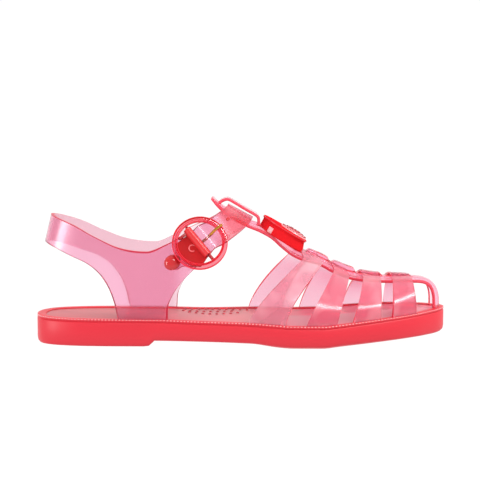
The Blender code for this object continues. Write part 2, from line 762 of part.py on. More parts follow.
def main():
    for old in list(bpy.data.objects):
        bpy.data.objects.remove(old)
    parts = bpy.data.collections.new("fisherman_sandal")
    helpers = bpy.data.collections.new("cutters")
    for collection in (parts, helpers):
        bpy.context.scene.collection.children.link(collection)
    outsole = make_outsole(parts)
    footbed = make_footbed(parts)
    vamp = make_vamp(parts)
    join(vamp, make_keeper(helpers), "UNION")
    quarters = make_quarters(parts)
    slot_size = (SLOT_FRONT - SLOT_BACK, 2 * HOLE_RADIUS, CUT_DEPTH)
    slot = block("prong_slot", slot_size, ring_matrix((SLOT_FRONT + SLOT_BACK) / 2, 0.0, SLOT_OUT), helpers)
    hole = rod("strap_hole", HOLE_RADIUS, CUT_DEPTH, ring_matrix(HOLE_PLACE, 0.0, STRAP_UNDER_RING), helpers)
    for cutter in (slot, hole):
        join(quarters, cutter, "DIFFERENCE")
    ring = make_ring(parts)
    bar = make_bar(parts)
    prong = make_prong(parts)
    medallion = make_medallion(parts, helpers)
    for helper in helpers.objects:
        helper.hide_render = True
        helper.display_type = "WIRE"
    for made in (*parts.objects, *helpers.objects):
        made.data.transform(Matrix.Translation(-ORIGIN * MM))
    finish(outsole, "sole_red", (0.72, 0.06, 0.08), 0.3)
    finish(footbed, "footbed_pink", (0.75, 0.28, 0.3), 0.5)
    finish(vamp, "upper_pink", (0.85, 0.35, 0.45), 0.2)
    quarters.data.materials.append(vamp.data.materials[0])
    finish(ring, "buckle_pink", (0.8, 0.16, 0.22), 0.2)
    finish(bar, "brass", (0.6, 0.4, 0.15), 0.3, 1.0)
    prong.data.materials.append(bar.data.materials[0])
    finish(medallion, "medallion_red", (0.82, 0.02, 0.04), 0.25)


main()
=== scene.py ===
"""Looks of a moulded fisherman sandal, right shoe: clear soft plastic on a pale studio floor."""

import math
from collections import namedtuple

import bmesh
import bpy
from mathutils import Matrix, Vector


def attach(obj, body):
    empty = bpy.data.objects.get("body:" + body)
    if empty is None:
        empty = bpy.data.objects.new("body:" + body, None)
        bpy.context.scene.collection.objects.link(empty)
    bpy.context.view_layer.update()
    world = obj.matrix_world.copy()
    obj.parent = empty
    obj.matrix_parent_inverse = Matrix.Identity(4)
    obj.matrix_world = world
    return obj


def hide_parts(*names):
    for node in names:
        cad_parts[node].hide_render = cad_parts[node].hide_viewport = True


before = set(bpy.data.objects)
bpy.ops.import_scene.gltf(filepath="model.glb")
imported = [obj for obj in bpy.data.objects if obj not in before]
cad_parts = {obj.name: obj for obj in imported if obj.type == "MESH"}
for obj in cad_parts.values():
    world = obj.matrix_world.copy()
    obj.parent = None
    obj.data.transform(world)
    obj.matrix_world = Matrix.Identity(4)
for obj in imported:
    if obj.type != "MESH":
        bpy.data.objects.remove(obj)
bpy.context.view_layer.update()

# Tables and named sizes are in millimetres, with +X to the toe, +Y to the inner side and +Z up.
# ORIGIN is the part's origin among them.
MM = 0.001
ORIGIN = Vector((0.5, -1.3, 0.0))

# The sole at places along it: outline, rim and underside, and the rise and inset of its lower edge.
Station = namedtuple("Station", "x outer inner rim under lift flat_inset")
SOLE = (
    Station(-127.6, 0.0, 0.0, 17.3, 0.0, 0.2, 1.4),
    Station(-126.0, -10.2, 10.2, 17.3, 0.0, 0.2, 1.4),
    Station(-123.0, -16.0, 16.0, 17.2, 0.0, 0.2, 1.5),
    Station(-119.0, -19.8, 19.8, 17.2, 0.0, 0.2, 1.6),
    Station(-111.0, -24.0, 24.0, 17.1, 0.0, 0.3, 2.2),
    Station(-99.0, -27.2, 27.2, 17.0, 0.0, 0.4, 3.0),
    Station(-80.0, -28.8, 28.8, 16.9, 0.0, 0.4, 3.0),
    Station(-57.0, -29.4, 28.0, 16.8, 0.0, 0.4, 3.0),
    Station(-52.5, -29.7, 27.7, 16.8, 3.6, 0.4, 3.0),
    Station(-25.0, -32.5, 28.0, 16.2, 3.5, 0.4, 3.0),
    Station(6.0, -37.5, 33.0, 15.8, 3.0, 0.7, 5.0),
    Station(22.0, -40.2, 37.2, 15.0, 0.7, 1.5, 9.0),
    Station(31.0, -41.3, 39.2, 14.5, 0.0, 1.7, 11.0),
    Station(50.0, -42.0, 42.0, 14.5, 0.0, 1.9, 11.0),
    Station(60.0, -40.6, 42.6, 15.3, 1.0, 1.8, 10.0),
    Station(72.0, -37.6, 41.8, 16.4, 2.1, 1.4, 8.0),
    Station(92.0, -30.4, 38.0, 18.1, 3.6, 0.9, 6.0),
    Station(107.5, -21.4, 31.0, 19.1, 4.3, 0.7, 5.0),
    Station(118.0, -12.4, 23.4, 19.8, 4.6, 0.6, 4.0),
    Station(124.5, -5.2, 16.9, 20.2, 4.9, 0.6, 3.0),
    Station(128.6, 6.2, 6.2, 20.5, 5.3, 0.6, 3.0),
)
HEEL_END = SOLE[0].x
SOLE_LENGTH = SOLE[-1].x - SOLE[0].x
OUTLINE_STEPS = 110
RIM_WIDTH = 5.5
RECESS = 2.5
FOOTBED_GAP = 0.3
SOLE_SHARP = 50.0
MERGE = 0.001

# The sole's side from the ground to the recess: rises over underside or rim, and insets from the outline.
Side = namedtuple("Side", "start rise inset flat_share lift_share", defaults=(0.0, 0.0, 0.0))
SIDES = (
    Side("under", 0.0, 0.0, 1.0),
    Side("under", 0.03, 0.6, 0.3, 0.3),
    Side("under", 0.2, 0.8, 0.06, 0.75),
    Side("under", 0.6, 0.5, 0.0, 0.9),
    Side("under", 1.1, 0.3, 0.0, 1.0),
    Side("under", 3.0, 0.0, 0.0, 1.0),
    Side("rim", -2.4),
    Side("rim", -2.1, 0.25),
    Side("rim", -1.8, 0.5),
    Side("rim", -1.5, 0.25),
    Side("rim", -1.2),
    Side("rim", -0.6),
    Side("rim", -0.2, 0.2),
    Side("rim", 0.0, 0.6),
    Side("rim", 0.0, 5.0),
    Side("rim", -0.3, RIM_WIDTH),
    Side("rim", -RECESS, RIM_WIDTH),
)
FOOTBED_SIDES = (
    Side("rim", -RECESS + FOOTBED_GAP, 5.4),
    Side("rim", -0.9, 5.4),
    Side("rim", -0.7, 5.7),
    Side("rim", -0.6, 6.3),
)

# Rows of dots on the footbed: first x, number, and sideways place in the middle and at the ends.
Dots = namedtuple("Dots", "first count middle ends")
DOTS = (
    Dots(-35.6, 10, 20.8, 20.0),
    Dots(-36.6, 8, 11.6, 14.0),
    Dots(-32.6, 8, 1.8, 8.0),
)
DOT_PITCH = 4.4
DOT_RADIUS = 1.05
DOT_SHAPE = (1.0, 1.3, 0.7)
DOT_CELLS = (10, 6)
FOOTBED_DOWN = 0.6

# Pale dashes round the sole's upper edge: a painted highlight on the rim's edge, broken into dots.
RIM_DASH_PITCH = 2.1
RIM_DASH_SIZE = (1.0, 0.4, 0.42)
RIM_DASH_INSET = 0.12
RIM_DASH_DOWN = 0.3

# Inner face of the centre strip along its middle, from pull tab to toe, with its sag and sideways place.
Crest = namedtuple("Crest", "x z sag y")
CREST = (
    Crest(-18.4, 89.2, 0.3, 0.0),
    Crest(-13.6, 84.3, 1.2, 0.0),
    Crest(-7.0, 79.8, 2.0, 0.0),
    Crest(1.0, 75.2, 2.4, 0.0),
    Crest(12.0, 71.2, 3.0, 0.0),
    Crest(19.0, 68.0, 3.8, 0.0),
    Crest(25.0, 63.4, 4.6, 0.0),
    Crest(31.0, 58.9, 4.8, 0.0),
    Crest(38.0, 54.8, 4.2, 0.3),
    Crest(50.0, 50.2, 3.3, 0.8),
    Crest(57.0, 46.2, 3.2, 1.2),
    Crest(68.0, 41.5, 2.8, 1.8),
    Crest(87.0, 38.4, 2.0, 3.0),
    Crest(107.0, 37.9, 1.6, 4.2),
    Crest(113.0, 37.3, 1.3, 4.6),
    Crest(118.0, 35.6, 1.0, 4.9),
    Crest(121.6, 32.0, 0.8, 5.2),
    Crest(123.3, 26.6, 0.6, 5.4),
    Crest(123.6, 19.8, 0.5, 5.5),
)
SPINE_HALF = 10.0
WALL = 2.2
TOE_START = 107.0
TOE_PULL = 3.4
TOE_NARROW = 0.9
STRIP_STEP = 1.0
STRIP_SAMPLES = 40
STRIP_AXIS = 20.0
HALVINGS = 30
STRIP_ACROSS = (0.0, 0.2, 0.39, 0.42, 0.46, 0.5, 0.6, 0.8, 0.95, 1.0)
PAD_LINE = 0.5
TAB_TIP = 0.8
TAB_TAPER = 1.0

# Cross straps: where each meets the centre strip and the rim, how far its inner half leaves the strip and
# meets the rim further back, and how its edges bend.
Cross = namedtuple("Cross", "top_back top_front base_back base_front skew inner_back lean_back lean_front")
CROSSINGS = (
    Cross(38.2, 50.0, 4.9, 27.4, -6.0, -0.4, 1.36, 1.6),
    Cross(57.1, 67.0, 39.5, 57.6, -5.0, 1.0, 1.2, 1.2),
    Cross(75.9, 87.3, 67.4, 84.3, -2.0, 0.5, 1.15, 1.15),
    Cross(94.6, 107.1, 92.0, 107.2, -0.5, -1.0, 1.15, 1.15),
)
STRAP_PROUD = 0.55
STRAP_INSET = 3.9
STRAP_BULGE = 2.0
STRAP_REACH = 0.5
STRAP_SHOULDER = 0.16
STRAP_UPRIGHT = 0.5
INTO_RIM = 1.0
STRAP_SHARES = (0.0, 0.05, 0.18, 0.5, 0.82, 0.95, 1.0)
STRAP_SIDE_CELLS = 18
STRAP_TOP_CELLS = 10
INTO_STRIP = 0.3
SHOULDER_RUN = 0.32
SLOPE_STEP = 0.1
WAY_END = 2.0
STRAP_AXIS = 10.0

# Pads of the centre strip over the crossings: their ends, their rise there and their bow between.
Pad = namedtuple("Pad", "back front rise_back rise_front bow")
PADS = (
    Pad(39.6, 54.6, 2.7, 1.8, 0.0),
    Pad(55.2, 71.8, 2.1, 2.4, 0.6),
    Pad(72.8, 89.2, 2.1, 1.7, 0.1),
    Pad(91.0, 107.8, 1.8, 1.0, 0.2),
)
PAD_BACK_RAMP = 1.4
PAD_FRONT_RAMP = 2.0
PAD_HALF = 0.43

# Keeper: its side view over the centre strip, in x and z.
KEEPER = (
    (11.4, 72.6), (11.3, 76.2), (10.4, 78.1), (2.0, 83.2), (-6.2, 88.1),
    (-7.8, 88.7), (-9.4, 88.5), (-12.4, 87.0), (-13.4, 85.4),
)
KEEPER_WALL = 1.9
KEEPER_HALF = 6.0
KEEPER_CELLS = 40
KEEPER_ACROSS = (-1.0, -0.93, -0.6, 0.0, 0.6, 0.93, 1.0)

# Inner face of one side of the back piece, heel first: lower edge and upper edge.
Quarter = namedtuple("Quarter", "low_x low_y low_z high_x high_y high_z")
QUARTER = (
    Quarter(-120.4, 0.0, 62.3, -116.3, 0.0, 79.2),
    Quarter(-117.0, 10.8, 61.0, -112.8, 10.2, 77.8),
    Quarter(-104.2, 18.6, 55.2, -101.2, 17.6, 73.4),
    Quarter(-93.5, 22.6, 50.8, -91.5, 21.4, 68.2),
    Quarter(-85.1, 24.6, 44.2, -84.0, 23.6, 64.7),
    Quarter(-79.8, 25.4, 36.1, -77.0, 26.0, 61.8),
    Quarter(-75.9, 25.2, 25.4, -71.5, 27.6, 60.3),
    Quarter(-73.6, 24.7, 15.8, -66.2, 28.6, 59.4),
    Quarter(-64.0, 25.0, 15.8, -61.5, 29.2, 58.9),
    Quarter(-54.0, 25.2, 15.8, -56.5, 29.6, 58.8),
    Quarter(-44.5, 25.6, 15.8, -52.0, 30.0, 60.0),
    Quarter(-44.0, 28.0, 24.4, -48.0, 30.3, 61.8),
    Quarter(-40.9, 30.0, 32.4, -44.0, 30.5, 63.6),
    Quarter(-34.7, 32.0, 41.2, -40.0, 30.8, 65.4),
    Quarter(-28.0, 33.0, 48.2, -36.0, 30.6, 67.3),
)
INNER_SIDE_FORWARD = 3.5
FORWARD_RUN = 45.0
FORWARD_AT_TOP = 0.5
INNER_SIDE_IN = 1.2
HEEL_TURN_HALF = 20.0
LEG_BULGE = 1.2
LEG_ROW = 8.0
LEG_ROWS = 6.0
BAND_WALL = 2.2
BAND_FINE = 3
BAND_AXIS = 40.0
BAND_SHARES = (0.0, 0.03, 0.12, 0.3, 0.5, 0.7, 0.88, 0.995, 1.0)

# Side view of the tongue folded round the bar, along the strap and out of the ring.
LOOP = (
    (-14.1, -2.7), (-12.0, -2.6), (-8.0, -2.5), (-4.6, -2.2), (-3.0, -1.9),
    (-1.0, -1.8),
)
ROLL = (
    (-2.6, -1.7), (-2.5, -0.6), (-1.9, 0.5), (-1.2, 1.0), (-0.3, 1.2),
    (0.6, 0.9), (1.1, 0.1), (1.1, -0.9), (0.5, -1.8),
)
LOOP_CELLS = 36
LOOP_ACROSS = (-1.0, -0.95, -0.8, -0.4, 0.0, 0.4, 0.8, 0.95, 1.0)
LOOP_WALL = 1.2
LOOP_HALF = 9.0
LOOP_FLARE = 0.33
LOOP_REACH = 14.2
ROLL_UP = 11.8
BALL_PLACE = (-19.6, 1.8, -4.6)
BALL_RADIUS = 4.7
BALL_SHAPE = (1.12, 1.0, 0.62)
BALL_CELLS = (32, 20)
CLIP_PLACE = (-5.4, 9.9, -0.8)
CLIP_SIZE = (6.0, 1.7, 1.4)
CLIP_BEVEL = 0.25
BLOCK_SHARP = 40.0
SLOT_PLACE = (-5.3, 0.6, -1.75)
SLOT_RADIUS = 2.0
LIP_RADIUS = 0.45
LIP_SIDES = 8
SLOT_TURN = 1.5 * math.pi
SLOT_STEPS = 24

# Ring buckle: its middle, its tilt, its side view in radius and height, and the strap's way through it.
RING_PLACE = Vector((-24.4, -36.8, 64.7))
RING_TILT = math.radians(25.0)
RING_OUTER = 16.75
RING_STEPS = 96
RING_SHARP = 30.0
RING_SIDE = (
    (13.4, -1.2), (13.9, -1.7), (16.05, -1.7), (RING_OUTER, -1.0), (RING_OUTER, 0.5),
    (16.45, 1.0), (15.95, 1.2), (14.85, 1.2), (14.6, 0.7), (14.35, 1.5),
    (14.1, 1.7), (13.7, 1.7), (13.4, 1.4),
)
STRAP_RISE = math.radians(38.5)
STRAP_HALF = 8.7
STRAP_WALL = 2.2
STRAP_UNDER_RING = -3.15
STRAP_TIP = -22.0
TAPER_START = -9.5
TAPER_LENGTH = 8.5
TIP_HALF = 3.4
TIP_BLUNT = 0.94
TIP_DROP = 2.4
TIP_CURVE = 1.3
DROP_START = -RING_OUTER + 2.0
RING_STRAP_STEP = 1.6
ARCH_STEPS = 7
FAR_STRAP_DOWN = 3.4
FAR_STRAP_RUN = 0.6
Tongue = namedtuple("Tongue", "along half")
TONGUE = (
    Tongue(-2.4, 8.0),
    Tongue(-8.0, 8.6),
)
TONGUE_DEPTH = 6.6
RING_LINE = 0.75
HOLE_WAY = 0.2
HOLE_UP = 2.0
HOLE_RADIUS = 1.25
HOLE_SHAPE = (1.3, 0.8, 0.4)
HOLE_STEP = 0.05
HOLE_CELLS = (16, 10)
STRAP_HUMP = 4.2
LEFT_DROP = 1.3
HUMP_TOP = 4.6
HUMP_BACK = -0.6
HUMP_FRONT = 12.0
STRAP_OVER_KEEPER = Vector((-0.9, 0.0, 79.7))
INSTEP_SLOPE = math.radians(28.0)
RING_OUT = Vector((0.0, -math.cos(RING_TILT), math.sin(RING_TILT)))
RING_UP = Vector((0.0, math.sin(RING_TILT), math.cos(RING_TILT)))
RING_ALONG = Vector((1.0, 0.0, 0.0)) * math.cos(STRAP_RISE) + RING_UP * math.sin(STRAP_RISE)
RING_ACROSS = RING_OUT.cross(RING_ALONG)

# Medallion: its middle and tilt, side views in radius and height, and the coin and the slot on it.
MEDALLION_PLACE = Vector((26.6, 0.0, 67.9))
MEDALLION_TILT = math.radians(31.5)
MEDALLION_LEAN = 0.6
MEDALLION_FOOT = 14.6
MEDALLION_STEPS = 72
MEDALLION_SHARP = 35.0
MEDALLION_SIDE = (
    (0.0, -4.8), (13.9, -4.8), (MEDALLION_FOOT, -4.2), (14.8, 1.3), (15.3, 1.6),
    (15.6, 2.0), (15.6, 2.8), (15.1, 3.1), (0.0, 3.1),
)
MEDALLION_LINE = (
    (15.2, 2.25), (15.75, 2.35), (15.75, 2.75), (15.2, 2.85),
)
COIN_FORWARD = 5.8
COIN_STEPS = 48
COIN_SIDE = (
    (0.0, 4.6), (2.6, 4.6), (2.8, 5.0), (3.6, 5.0), (3.8, 4.5),
    (5.0, 4.3), (5.2, 4.7), (6.0, 4.6), (6.2, 4.0), (7.4, 3.7),
    (7.6, 4.1), (8.6, 3.9), (9.0, 3.4), (9.0, 2.9), (0.0, 2.9),
)
COIN_LINE = 0.8
COIN_MIDDLE = 5.0
Beads = namedtuple("Beads", "count radius height")
COIN_BEADS = (
    Beads(22, 8.1, 4.0),
    Beads(16, 5.6, 4.6),
    Beads(9, 3.2, 5.0),
)
BEAD_RADIUS = 0.5
BEAD_CELLS = (8, 6)
SIDE_SLOT_TURN = math.radians(-34.0)
SIDE_SLOT_PLACE = (0.0, -14.5, -2.4)
SIDE_SLOT_SIZE = (3.4, 0.9, 3.6)
SIDE_SLOT_BEVEL = 0.3

# Rounding of sheets with a wall: crease of their edges, and subdivisions.
EDGE_CREASE = 0.45
FINE_LEVELS = 2
COARSE_LEVELS = 1

# Plain finishes, each the same all over its pieces; the fields are the shader's sockets.
WHITE = (1.0, 1.0, 1.0)
Finish = namedtuple(
    "Finish",
    "name Base_Color Roughness Specular_IOR_Level Metallic Emission_Color Emission_Strength",
    defaults=(0.5, 0.0, WHITE, 0.0),
)
FINISHES = (
    # Edge reds: painted shade with a painted glow, the dark red lines that light running through clear
    # plastic shows at its edges.
    Finish("edge_red", (0.75, 0.07, 0.11), 0.25, 0.5, 0.0, (0.8, 0.04, 0.08), 0.2),
    Finish("rim_red", (0.6, 0.03, 0.06), 0.3, 0.2, 0.0, (0.16, 0.005, 0.014), 1.0),
    Finish("band_line_red", (0.5, 0.03, 0.06), 0.3, 0.2, 0.0, (0.06, 0.002, 0.006), 1.0),
    Finish("ring_line_red", (0.6, 0.02, 0.04), 0.3, 0.2, 0.0, (0.28, 0.008, 0.02), 1.0),
    Finish("loop_red", (0.46, 0.006, 0.008), 0.35, 0.2),
    Finish("roll_red", (0.66, 0.03, 0.034), 0.25),
    Finish("ball_red", (0.54, 0.018, 0.022), 0.15),
    # Paler pink of the slot's lip: a painted highlight.
    Finish("slot_pink", (0.75, 0.12, 0.13), 0.3),
    Finish("sole_red", (0.66, 0.022, 0.039), 0.42, 0.35),
    # Pale dashes on the sole's rim: a painted highlight.
    Finish("rim_highlight_pale", (0.88, 0.48, 0.5), 0.5),
    Finish("dot_red", (0.5, 0.04, 0.06), 0.4),
    Finish("medallion_red", (0.8, 0.016, 0.022), 0.3, 0.0),
    Finish("medallion_coin", (0.62, 0.04, 0.055), 0.3),
    # Pale walls of the coin's ridges: a painted highlight.
    Finish("medallion_ridge_highlight", (0.86, 0.36, 0.38), 0.25),
    Finish("medallion_pale", (0.9, 0.45, 0.45), 0.3),
    Finish("bead_red", (0.34, 0.01, 0.018), 0.3),
    # Dark red of the strap's hole: painted shade.
    Finish("hole_red", (0.5, 0.0, 0.004), 0.4),
    Finish("brass", (0.62, 0.27, 0.05), 0.22, 0.5, 1.0),
    Finish("dark_bronze", (0.4, 0.012, 0.016), 0.4),
    Finish("studio_floor", (0.05, 0.05, 0.05), 0.9, 0.0, 0.0, WHITE, 1.0),
)

# Clear plastics: tint and density of their depth, then their surface.
Clear = namedtuple("Clear", "name depth density roughness clearness coat coat_roughness")
DEEP_PINK = (0.997, 0.0, 0.35)
DEEP_RED = (0.997, 0.0, 0.15)
STRAP_CLEAR = Clear("upper_pink", DEEP_PINK, 220.0, 0.15, 0.97, 0.8, 0.16)
BAND_CLEAR = Clear("band_pink", DEEP_PINK, 80.0, 0.18, 0.97, 0.1, 0.2)
STRIP_CLEAR = Clear("strip_pink", DEEP_PINK, 90.0, 0.12, 1.0, 0.3, 0.1)
RING_CLEAR = Clear("buckle_pink", DEEP_RED, 450.0, 0.08, 1.0, 0.8, 0.1)
CLEAR_IOR = 1.15
VEIL_ROUGHNESS = 0.3
VEIL_COAT_ROUGHNESS = 0.16

# Tints of the clear plastics and the footbed; deeper tints on the outer side are painted shade, glows are
# painted light, and the footbed's changes are painted shade and shadow.
PALE = (0.94, 0.95, 0.95)
Strap = namedtuple("Strap", "name veil near dull milky glow")
STRAP_TINTS = (
    Strap(
        "strap_first_pink", 0.4, (0.9, 0.88, 0.88), (0.7, 0.21, 0.28), (0.84, 0.38, 0.44), (0.06, 0.01, 0.015)
    ),
    Strap("upper_pink", 0.45, (0.85, 0.58, 0.62), (0.72, 0.1, 0.17), (0.86, 0.3, 0.36), (0.08, 0.01, 0.015)),
)
BAND_NEAR = (0.92, 0.575, 0.71)
BAND_FAR = (0.87, 0.66, 0.71)
ANKLE_NEAR = (0.97, 0.33, 0.37)
ANKLE_FAR = (0.99, 0.95, 0.95)
STRAP_TOP_TINT = (0.68, 0.08, 0.12)
STRAP_TOP_GLOW = (0.03, 0.0, 0.004)
STRAP_TOP_VEIL = 0.75
STRAP_TOP_COAT = 0.3
STRIP_NEAR = (0.99, 0.85, 0.88)
STRIP_GLOW = (1.0, 0.35, 0.42)
STRIP_GLOW_STRENGTH = 0.05
FOOTBED_ROUGHNESS = 0.4
# Footbed: darker at the heel as painted shade, pinker at the front and deeper on its inner half as painted
# shadow tinted by the straps.
FOOTBED_HEEL = (0.52, 0.08, 0.095)
FOOTBED_MIDDLE = (0.61, 0.145, 0.16)
FOOTBED_FRONT = (0.64, 0.19, 0.24)
FOOTBED_DEEP = (0.73, 0.066, 0.126)

# Where tints, painted shade and gloss change over the shoe, in millimetres, and the noise of the pale
# patches, partly milky plastic and partly painted sheen.
SIDE_BLEND = 12.0
ANKLE_START = 16.0
FAR_ANKLE_START = 45.0
ANKLE_RUN = 8.0
FOOTBED_DARK_END = 80.0
FOOTBED_DARK_RUN = 30.0
FOOTBED_DEEP_START = 4.0
FOOTBED_DEEP_RUN = 8.0
HEEL_GLOSS_END = 70.0
HEEL_GLOSS_RUN = 20.0
STRAP_TOP_START = 76.5
STRAP_TOP_RUN = 5.0
WINDOW_START = 32.0
WINDOW_RUN = 2.0
CLOUD_SCALE = 75.0
CLOUD_DETAIL = 1.0
CLOUD_START = 0.45
CLOUD_RUN = 0.25

# Socket numbers of a Mix node for colours, where names repeat.
MIX_SHARE = 0
MIX_FIRST = 6
MIX_SECOND = 7
MIX_COLOR = 2

# Studio and camera, with places in metres.
WORLD_FRONT = 0.6
WORLD_BACK = 1.02
WORLD_FADE = 0.6
LIGHT_BOUNCES = 32
FLOOR_HALF = 20.0
Lamp = namedtuple("Lamp", "name place aim size power")
LAMPS = (
    Lamp("ball_strip", (0.26, -0.71, 1.03), (0.05, 0.0, 0.03), (0.5, 0.18), 4.2),
    Lamp("toe_strip", (0.67, -0.52, 0.94), (0.08, 0.0, 0.03), (0.55, 0.18), 4.5),
    Lamp("tip_strip", (0.85, -0.2, 0.9), (0.1, 0.0, 0.03), (0.5, 0.18), 4.2),
    Lamp("left_box", (-1.03, -0.47, 0.35), (-0.1, 0.0, 0.06), (0.28, 0.5), 5.0),
)
CAMERA_TARGET = Vector((-0.0008, 0.0013, 0.0627))
CAMERA_DISTANCE = 0.85
CAMERA_PITCH = math.radians(5.8)
PIXELS_PER_MM = 1.596
IMAGE_SIDE = 480
SENSOR = 36.0

# Curves through the tables


class Line:
    """A smooth curve through a column of a table that never overshoots it."""

    def __init__(self, keys, values):
        self.keys, self.values = list(keys), list(values)
        runs = [b - a for a, b in zip(self.keys, self.keys[1:])]
        rates = [(d - c) / run for c, d, run in zip(self.values, self.values[1:], runs)]
        self.slopes = [rates[0]]
        for i in range(1, len(rates)):
            before, after = rates[i - 1], rates[i]
            w1, w2 = 2 * runs[i] + runs[i - 1], runs[i] + 2 * runs[i - 1]
            level = before * after <= 0
            self.slopes.append(0.0 if level else (w1 + w2) / (w1 / before + w2 / after))
        self.slopes.append(rates[-1])

    def at(self, key):
        key = min(max(key, self.keys[0]), self.keys[-1])
        i = 0
        while i < len(self.keys) - 2 and key > self.keys[i + 1]:
            i += 1
        run = self.keys[i + 1] - self.keys[i]
        t = (key - self.keys[i]) / run
        near = (1 + 2 * t) * (1 - t) ** 2 * self.values[i] + t * (1 - t) ** 2 * run * self.slopes[i]
        far = t * t * (3 - 2 * t) * self.values[i + 1] - t * t * (1 - t) * run * self.slopes[i + 1]
        return near + far


def ease(share):
    """A soft step from 0 to 1."""
    share = min(max(share, 0.0), 1.0)
    return share * share * (3 - 2 * share)


def curves(rows):
    """A smooth curve over the row's number for each column of a table."""
    return [Line(range(len(rows)), column) for column in zip(*rows)]


def turn_of(x):
    """The turn round the sole's outline, 0 at the heel and pi at the toe."""
    share = min(max((x - HEEL_END) / SOLE_LENGTH, 0.0), 1.0)
    return math.acos(1 - 2 * share)


def sole_lines(names, keys):
    """Smooth curves through some columns of the sole's table."""
    return {name: Line(keys, [getattr(row, name) for row in SOLE]) for name in names}


SOLE_LINES = sole_lines(("rim", "under", "lift", "flat_inset"), [row.x for row in SOLE])
EDGE_LINES = sole_lines(("outer", "inner"), [turn_of(row.x) for row in SOLE])
CREST_LINES = Crest(*curves(CREST))


def sole_at(x, column):
    """One of the sole's measures at a place along it."""
    if column in EDGE_LINES:
        return EDGE_LINES[column].at(turn_of(x))
    return SOLE_LINES[column].at(x)


def outline():
    """The sole's outline seen from above, round from the heel along the outer side to the toe and back."""
    turns = [math.pi * i / OUTLINE_STEPS for i in range(OUTLINE_STEPS + 1)]
    places = [HEEL_END + SOLE_LENGTH * (1 - math.cos(turn)) / 2 for turn in turns]
    outer = [Vector((x, sole_at(x, "outer"))) for x in places]
    inner = [Vector((x, sole_at(x, "inner"))) for x in places[1:-1]]
    return outer + inner[::-1]


def crest_at(run):
    """The centre strip's middle at a row's number, with its fraction."""
    return Crest(*(line.at(run) for line in CREST_LINES))


def run_of(x):
    """The row's number, with its fraction, at which the centre strip has this x."""
    low, high = 0.0, len(CREST) - 1.0
    for _ in range(HALVINGS):
        middle = (low + high) / 2
        if CREST_LINES.x.at(middle) < x:
            low = middle
        else:
            high = middle
    return low


def spine_point(run, across):
    """A point of the centre strip's inner face; across is -1 at the outer edge and 1 at the inner edge."""
    crest = crest_at(run)
    toe = min(max((crest.x - TOE_START) / (CREST[-1].x - TOE_START), 0.0), 1.0)
    pull = TOE_PULL * toe * toe * across * across
    half = SPINE_HALF - TOE_NARROW * toe
    return Vector((crest.x - pull, crest.y + across * half, crest.z - crest.sag * across * across))


def strap_point(run, side, base_x, share, lean):
    """A point of a cross strap's inner face, from the centre strip's edge (0) to the rim (1)."""
    start = spine_point(run, side)
    edge_y = sole_at(base_x, "outer" if side < 0 else "inner")
    base = Vector((base_x, edge_y - side * STRAP_INSET, sole_at(base_x, "rim") - INTO_RIM))
    reach, drop = abs(base.y - start.y), start.z - base.z
    first = start + Vector((0.0, side * reach * STRAP_REACH, -drop * STRAP_SHOULDER))
    second = base + Vector((0.0, side * STRAP_BULGE, drop * STRAP_UPRIGHT))
    t = share
    point = start * (1 - t) ** 3 + first * 3 * t * (1 - t) ** 2
    point += second * 3 * t * t * (1 - t) + base * t ** 3
    height = (point.z - base.z) / drop
    point.x = base.x + (start.x - base.x) * max(height, 0.0) ** lean
    return point


def ring_point(along, across, out):
    """A point in the ring's own directions: along the strap, across it, and out of the ring's plane."""
    return RING_PLACE + RING_ALONG * along + RING_ACROSS * across + RING_OUT * out


# Meshes


def metres(point):
    """A point of the tables in Blender's unit, seen from the part's origin."""
    return (point - ORIGIN) * MM


def piece(name, bm, material, stands_for=(), sharp=None):
    """Makes the finished object of a mesh and lets it ride on the shoe."""
    mesh = bpy.data.meshes.new(name)
    bm.to_mesh(mesh)
    bm.free()
    mesh.shade_smooth()
    if sharp:
        mesh.set_sharp_from_angle(angle=math.radians(sharp))
    made = bpy.data.objects.new(name, mesh)
    bpy.context.scene.collection.objects.link(made)
    mesh.materials.append(material)
    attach(made, "root")
    if stands_for:
        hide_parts(*stands_for)
    return made


def bent_grid(columns, rows, place):
    """A grid whose corners go where place(column, row) puts them, with the wall there as a weight."""
    bm = bmesh.new()
    bmesh.ops.create_grid(bm, x_segments=columns, y_segments=rows, size=0.5)
    weights = bm.verts.layers.deform.verify()
    walls = {}
    for corner in bm.verts:
        i, j = round((corner.co.x + 0.5) * columns), round((corner.co.y + 0.5) * rows)
        point, walls[corner] = place(i, j)
        corner.co = metres(point)
    thickest = max(walls.values())
    for corner, wall in walls.items():
        corner[weights][0] = wall / thickest
    bm.normal_update()
    return bm, thickest


def tint_row(bm, columns, row, tinted):
    """Gives the tinted columns of one row of a grid's faces the second material."""
    bm.faces.index_update()
    for face in bm.faces:
        if face.index // columns == row and face.index % columns in tinted:
            face.material_index = 1


def face_away(bm, height):
    """Turns the faces of an open sheet away from the line along the foot at this height."""
    total = 0.0
    for face in bm.faces:
        middle = face.calc_center_median()
        total += face.normal.dot(Vector((0.0, middle.y, middle.z - height * MM))) * face.calc_area()
    if total < 0:
        bmesh.ops.reverse_faces(bm, faces=bm.faces)


def wall_of(made, thickest, levels, edge, offset=1.0):
    """Gives a sheet its wall, with its edges rounded and given the edge material; on the clear plastics that
    is a painted darker line with a painted glow.
    """
    made.data.materials.append(edge)
    made.vertex_groups.new(name="wall")
    shell = made.modifiers.new("wall", "SOLIDIFY")
    shell.thickness = thickest * MM
    shell.offset = offset
    shell.vertex_group = "wall"
    shell.use_even_offset = False
    shell.material_offset_rim = 1
    shell.edge_crease_inner = EDGE_CREASE
    shell.edge_crease_outer = EDGE_CREASE
    shell.edge_crease_rim = EDGE_CREASE
    soft = made.modifiers.new("round", "SUBSURF")
    soft.levels = levels
    soft.render_levels = levels


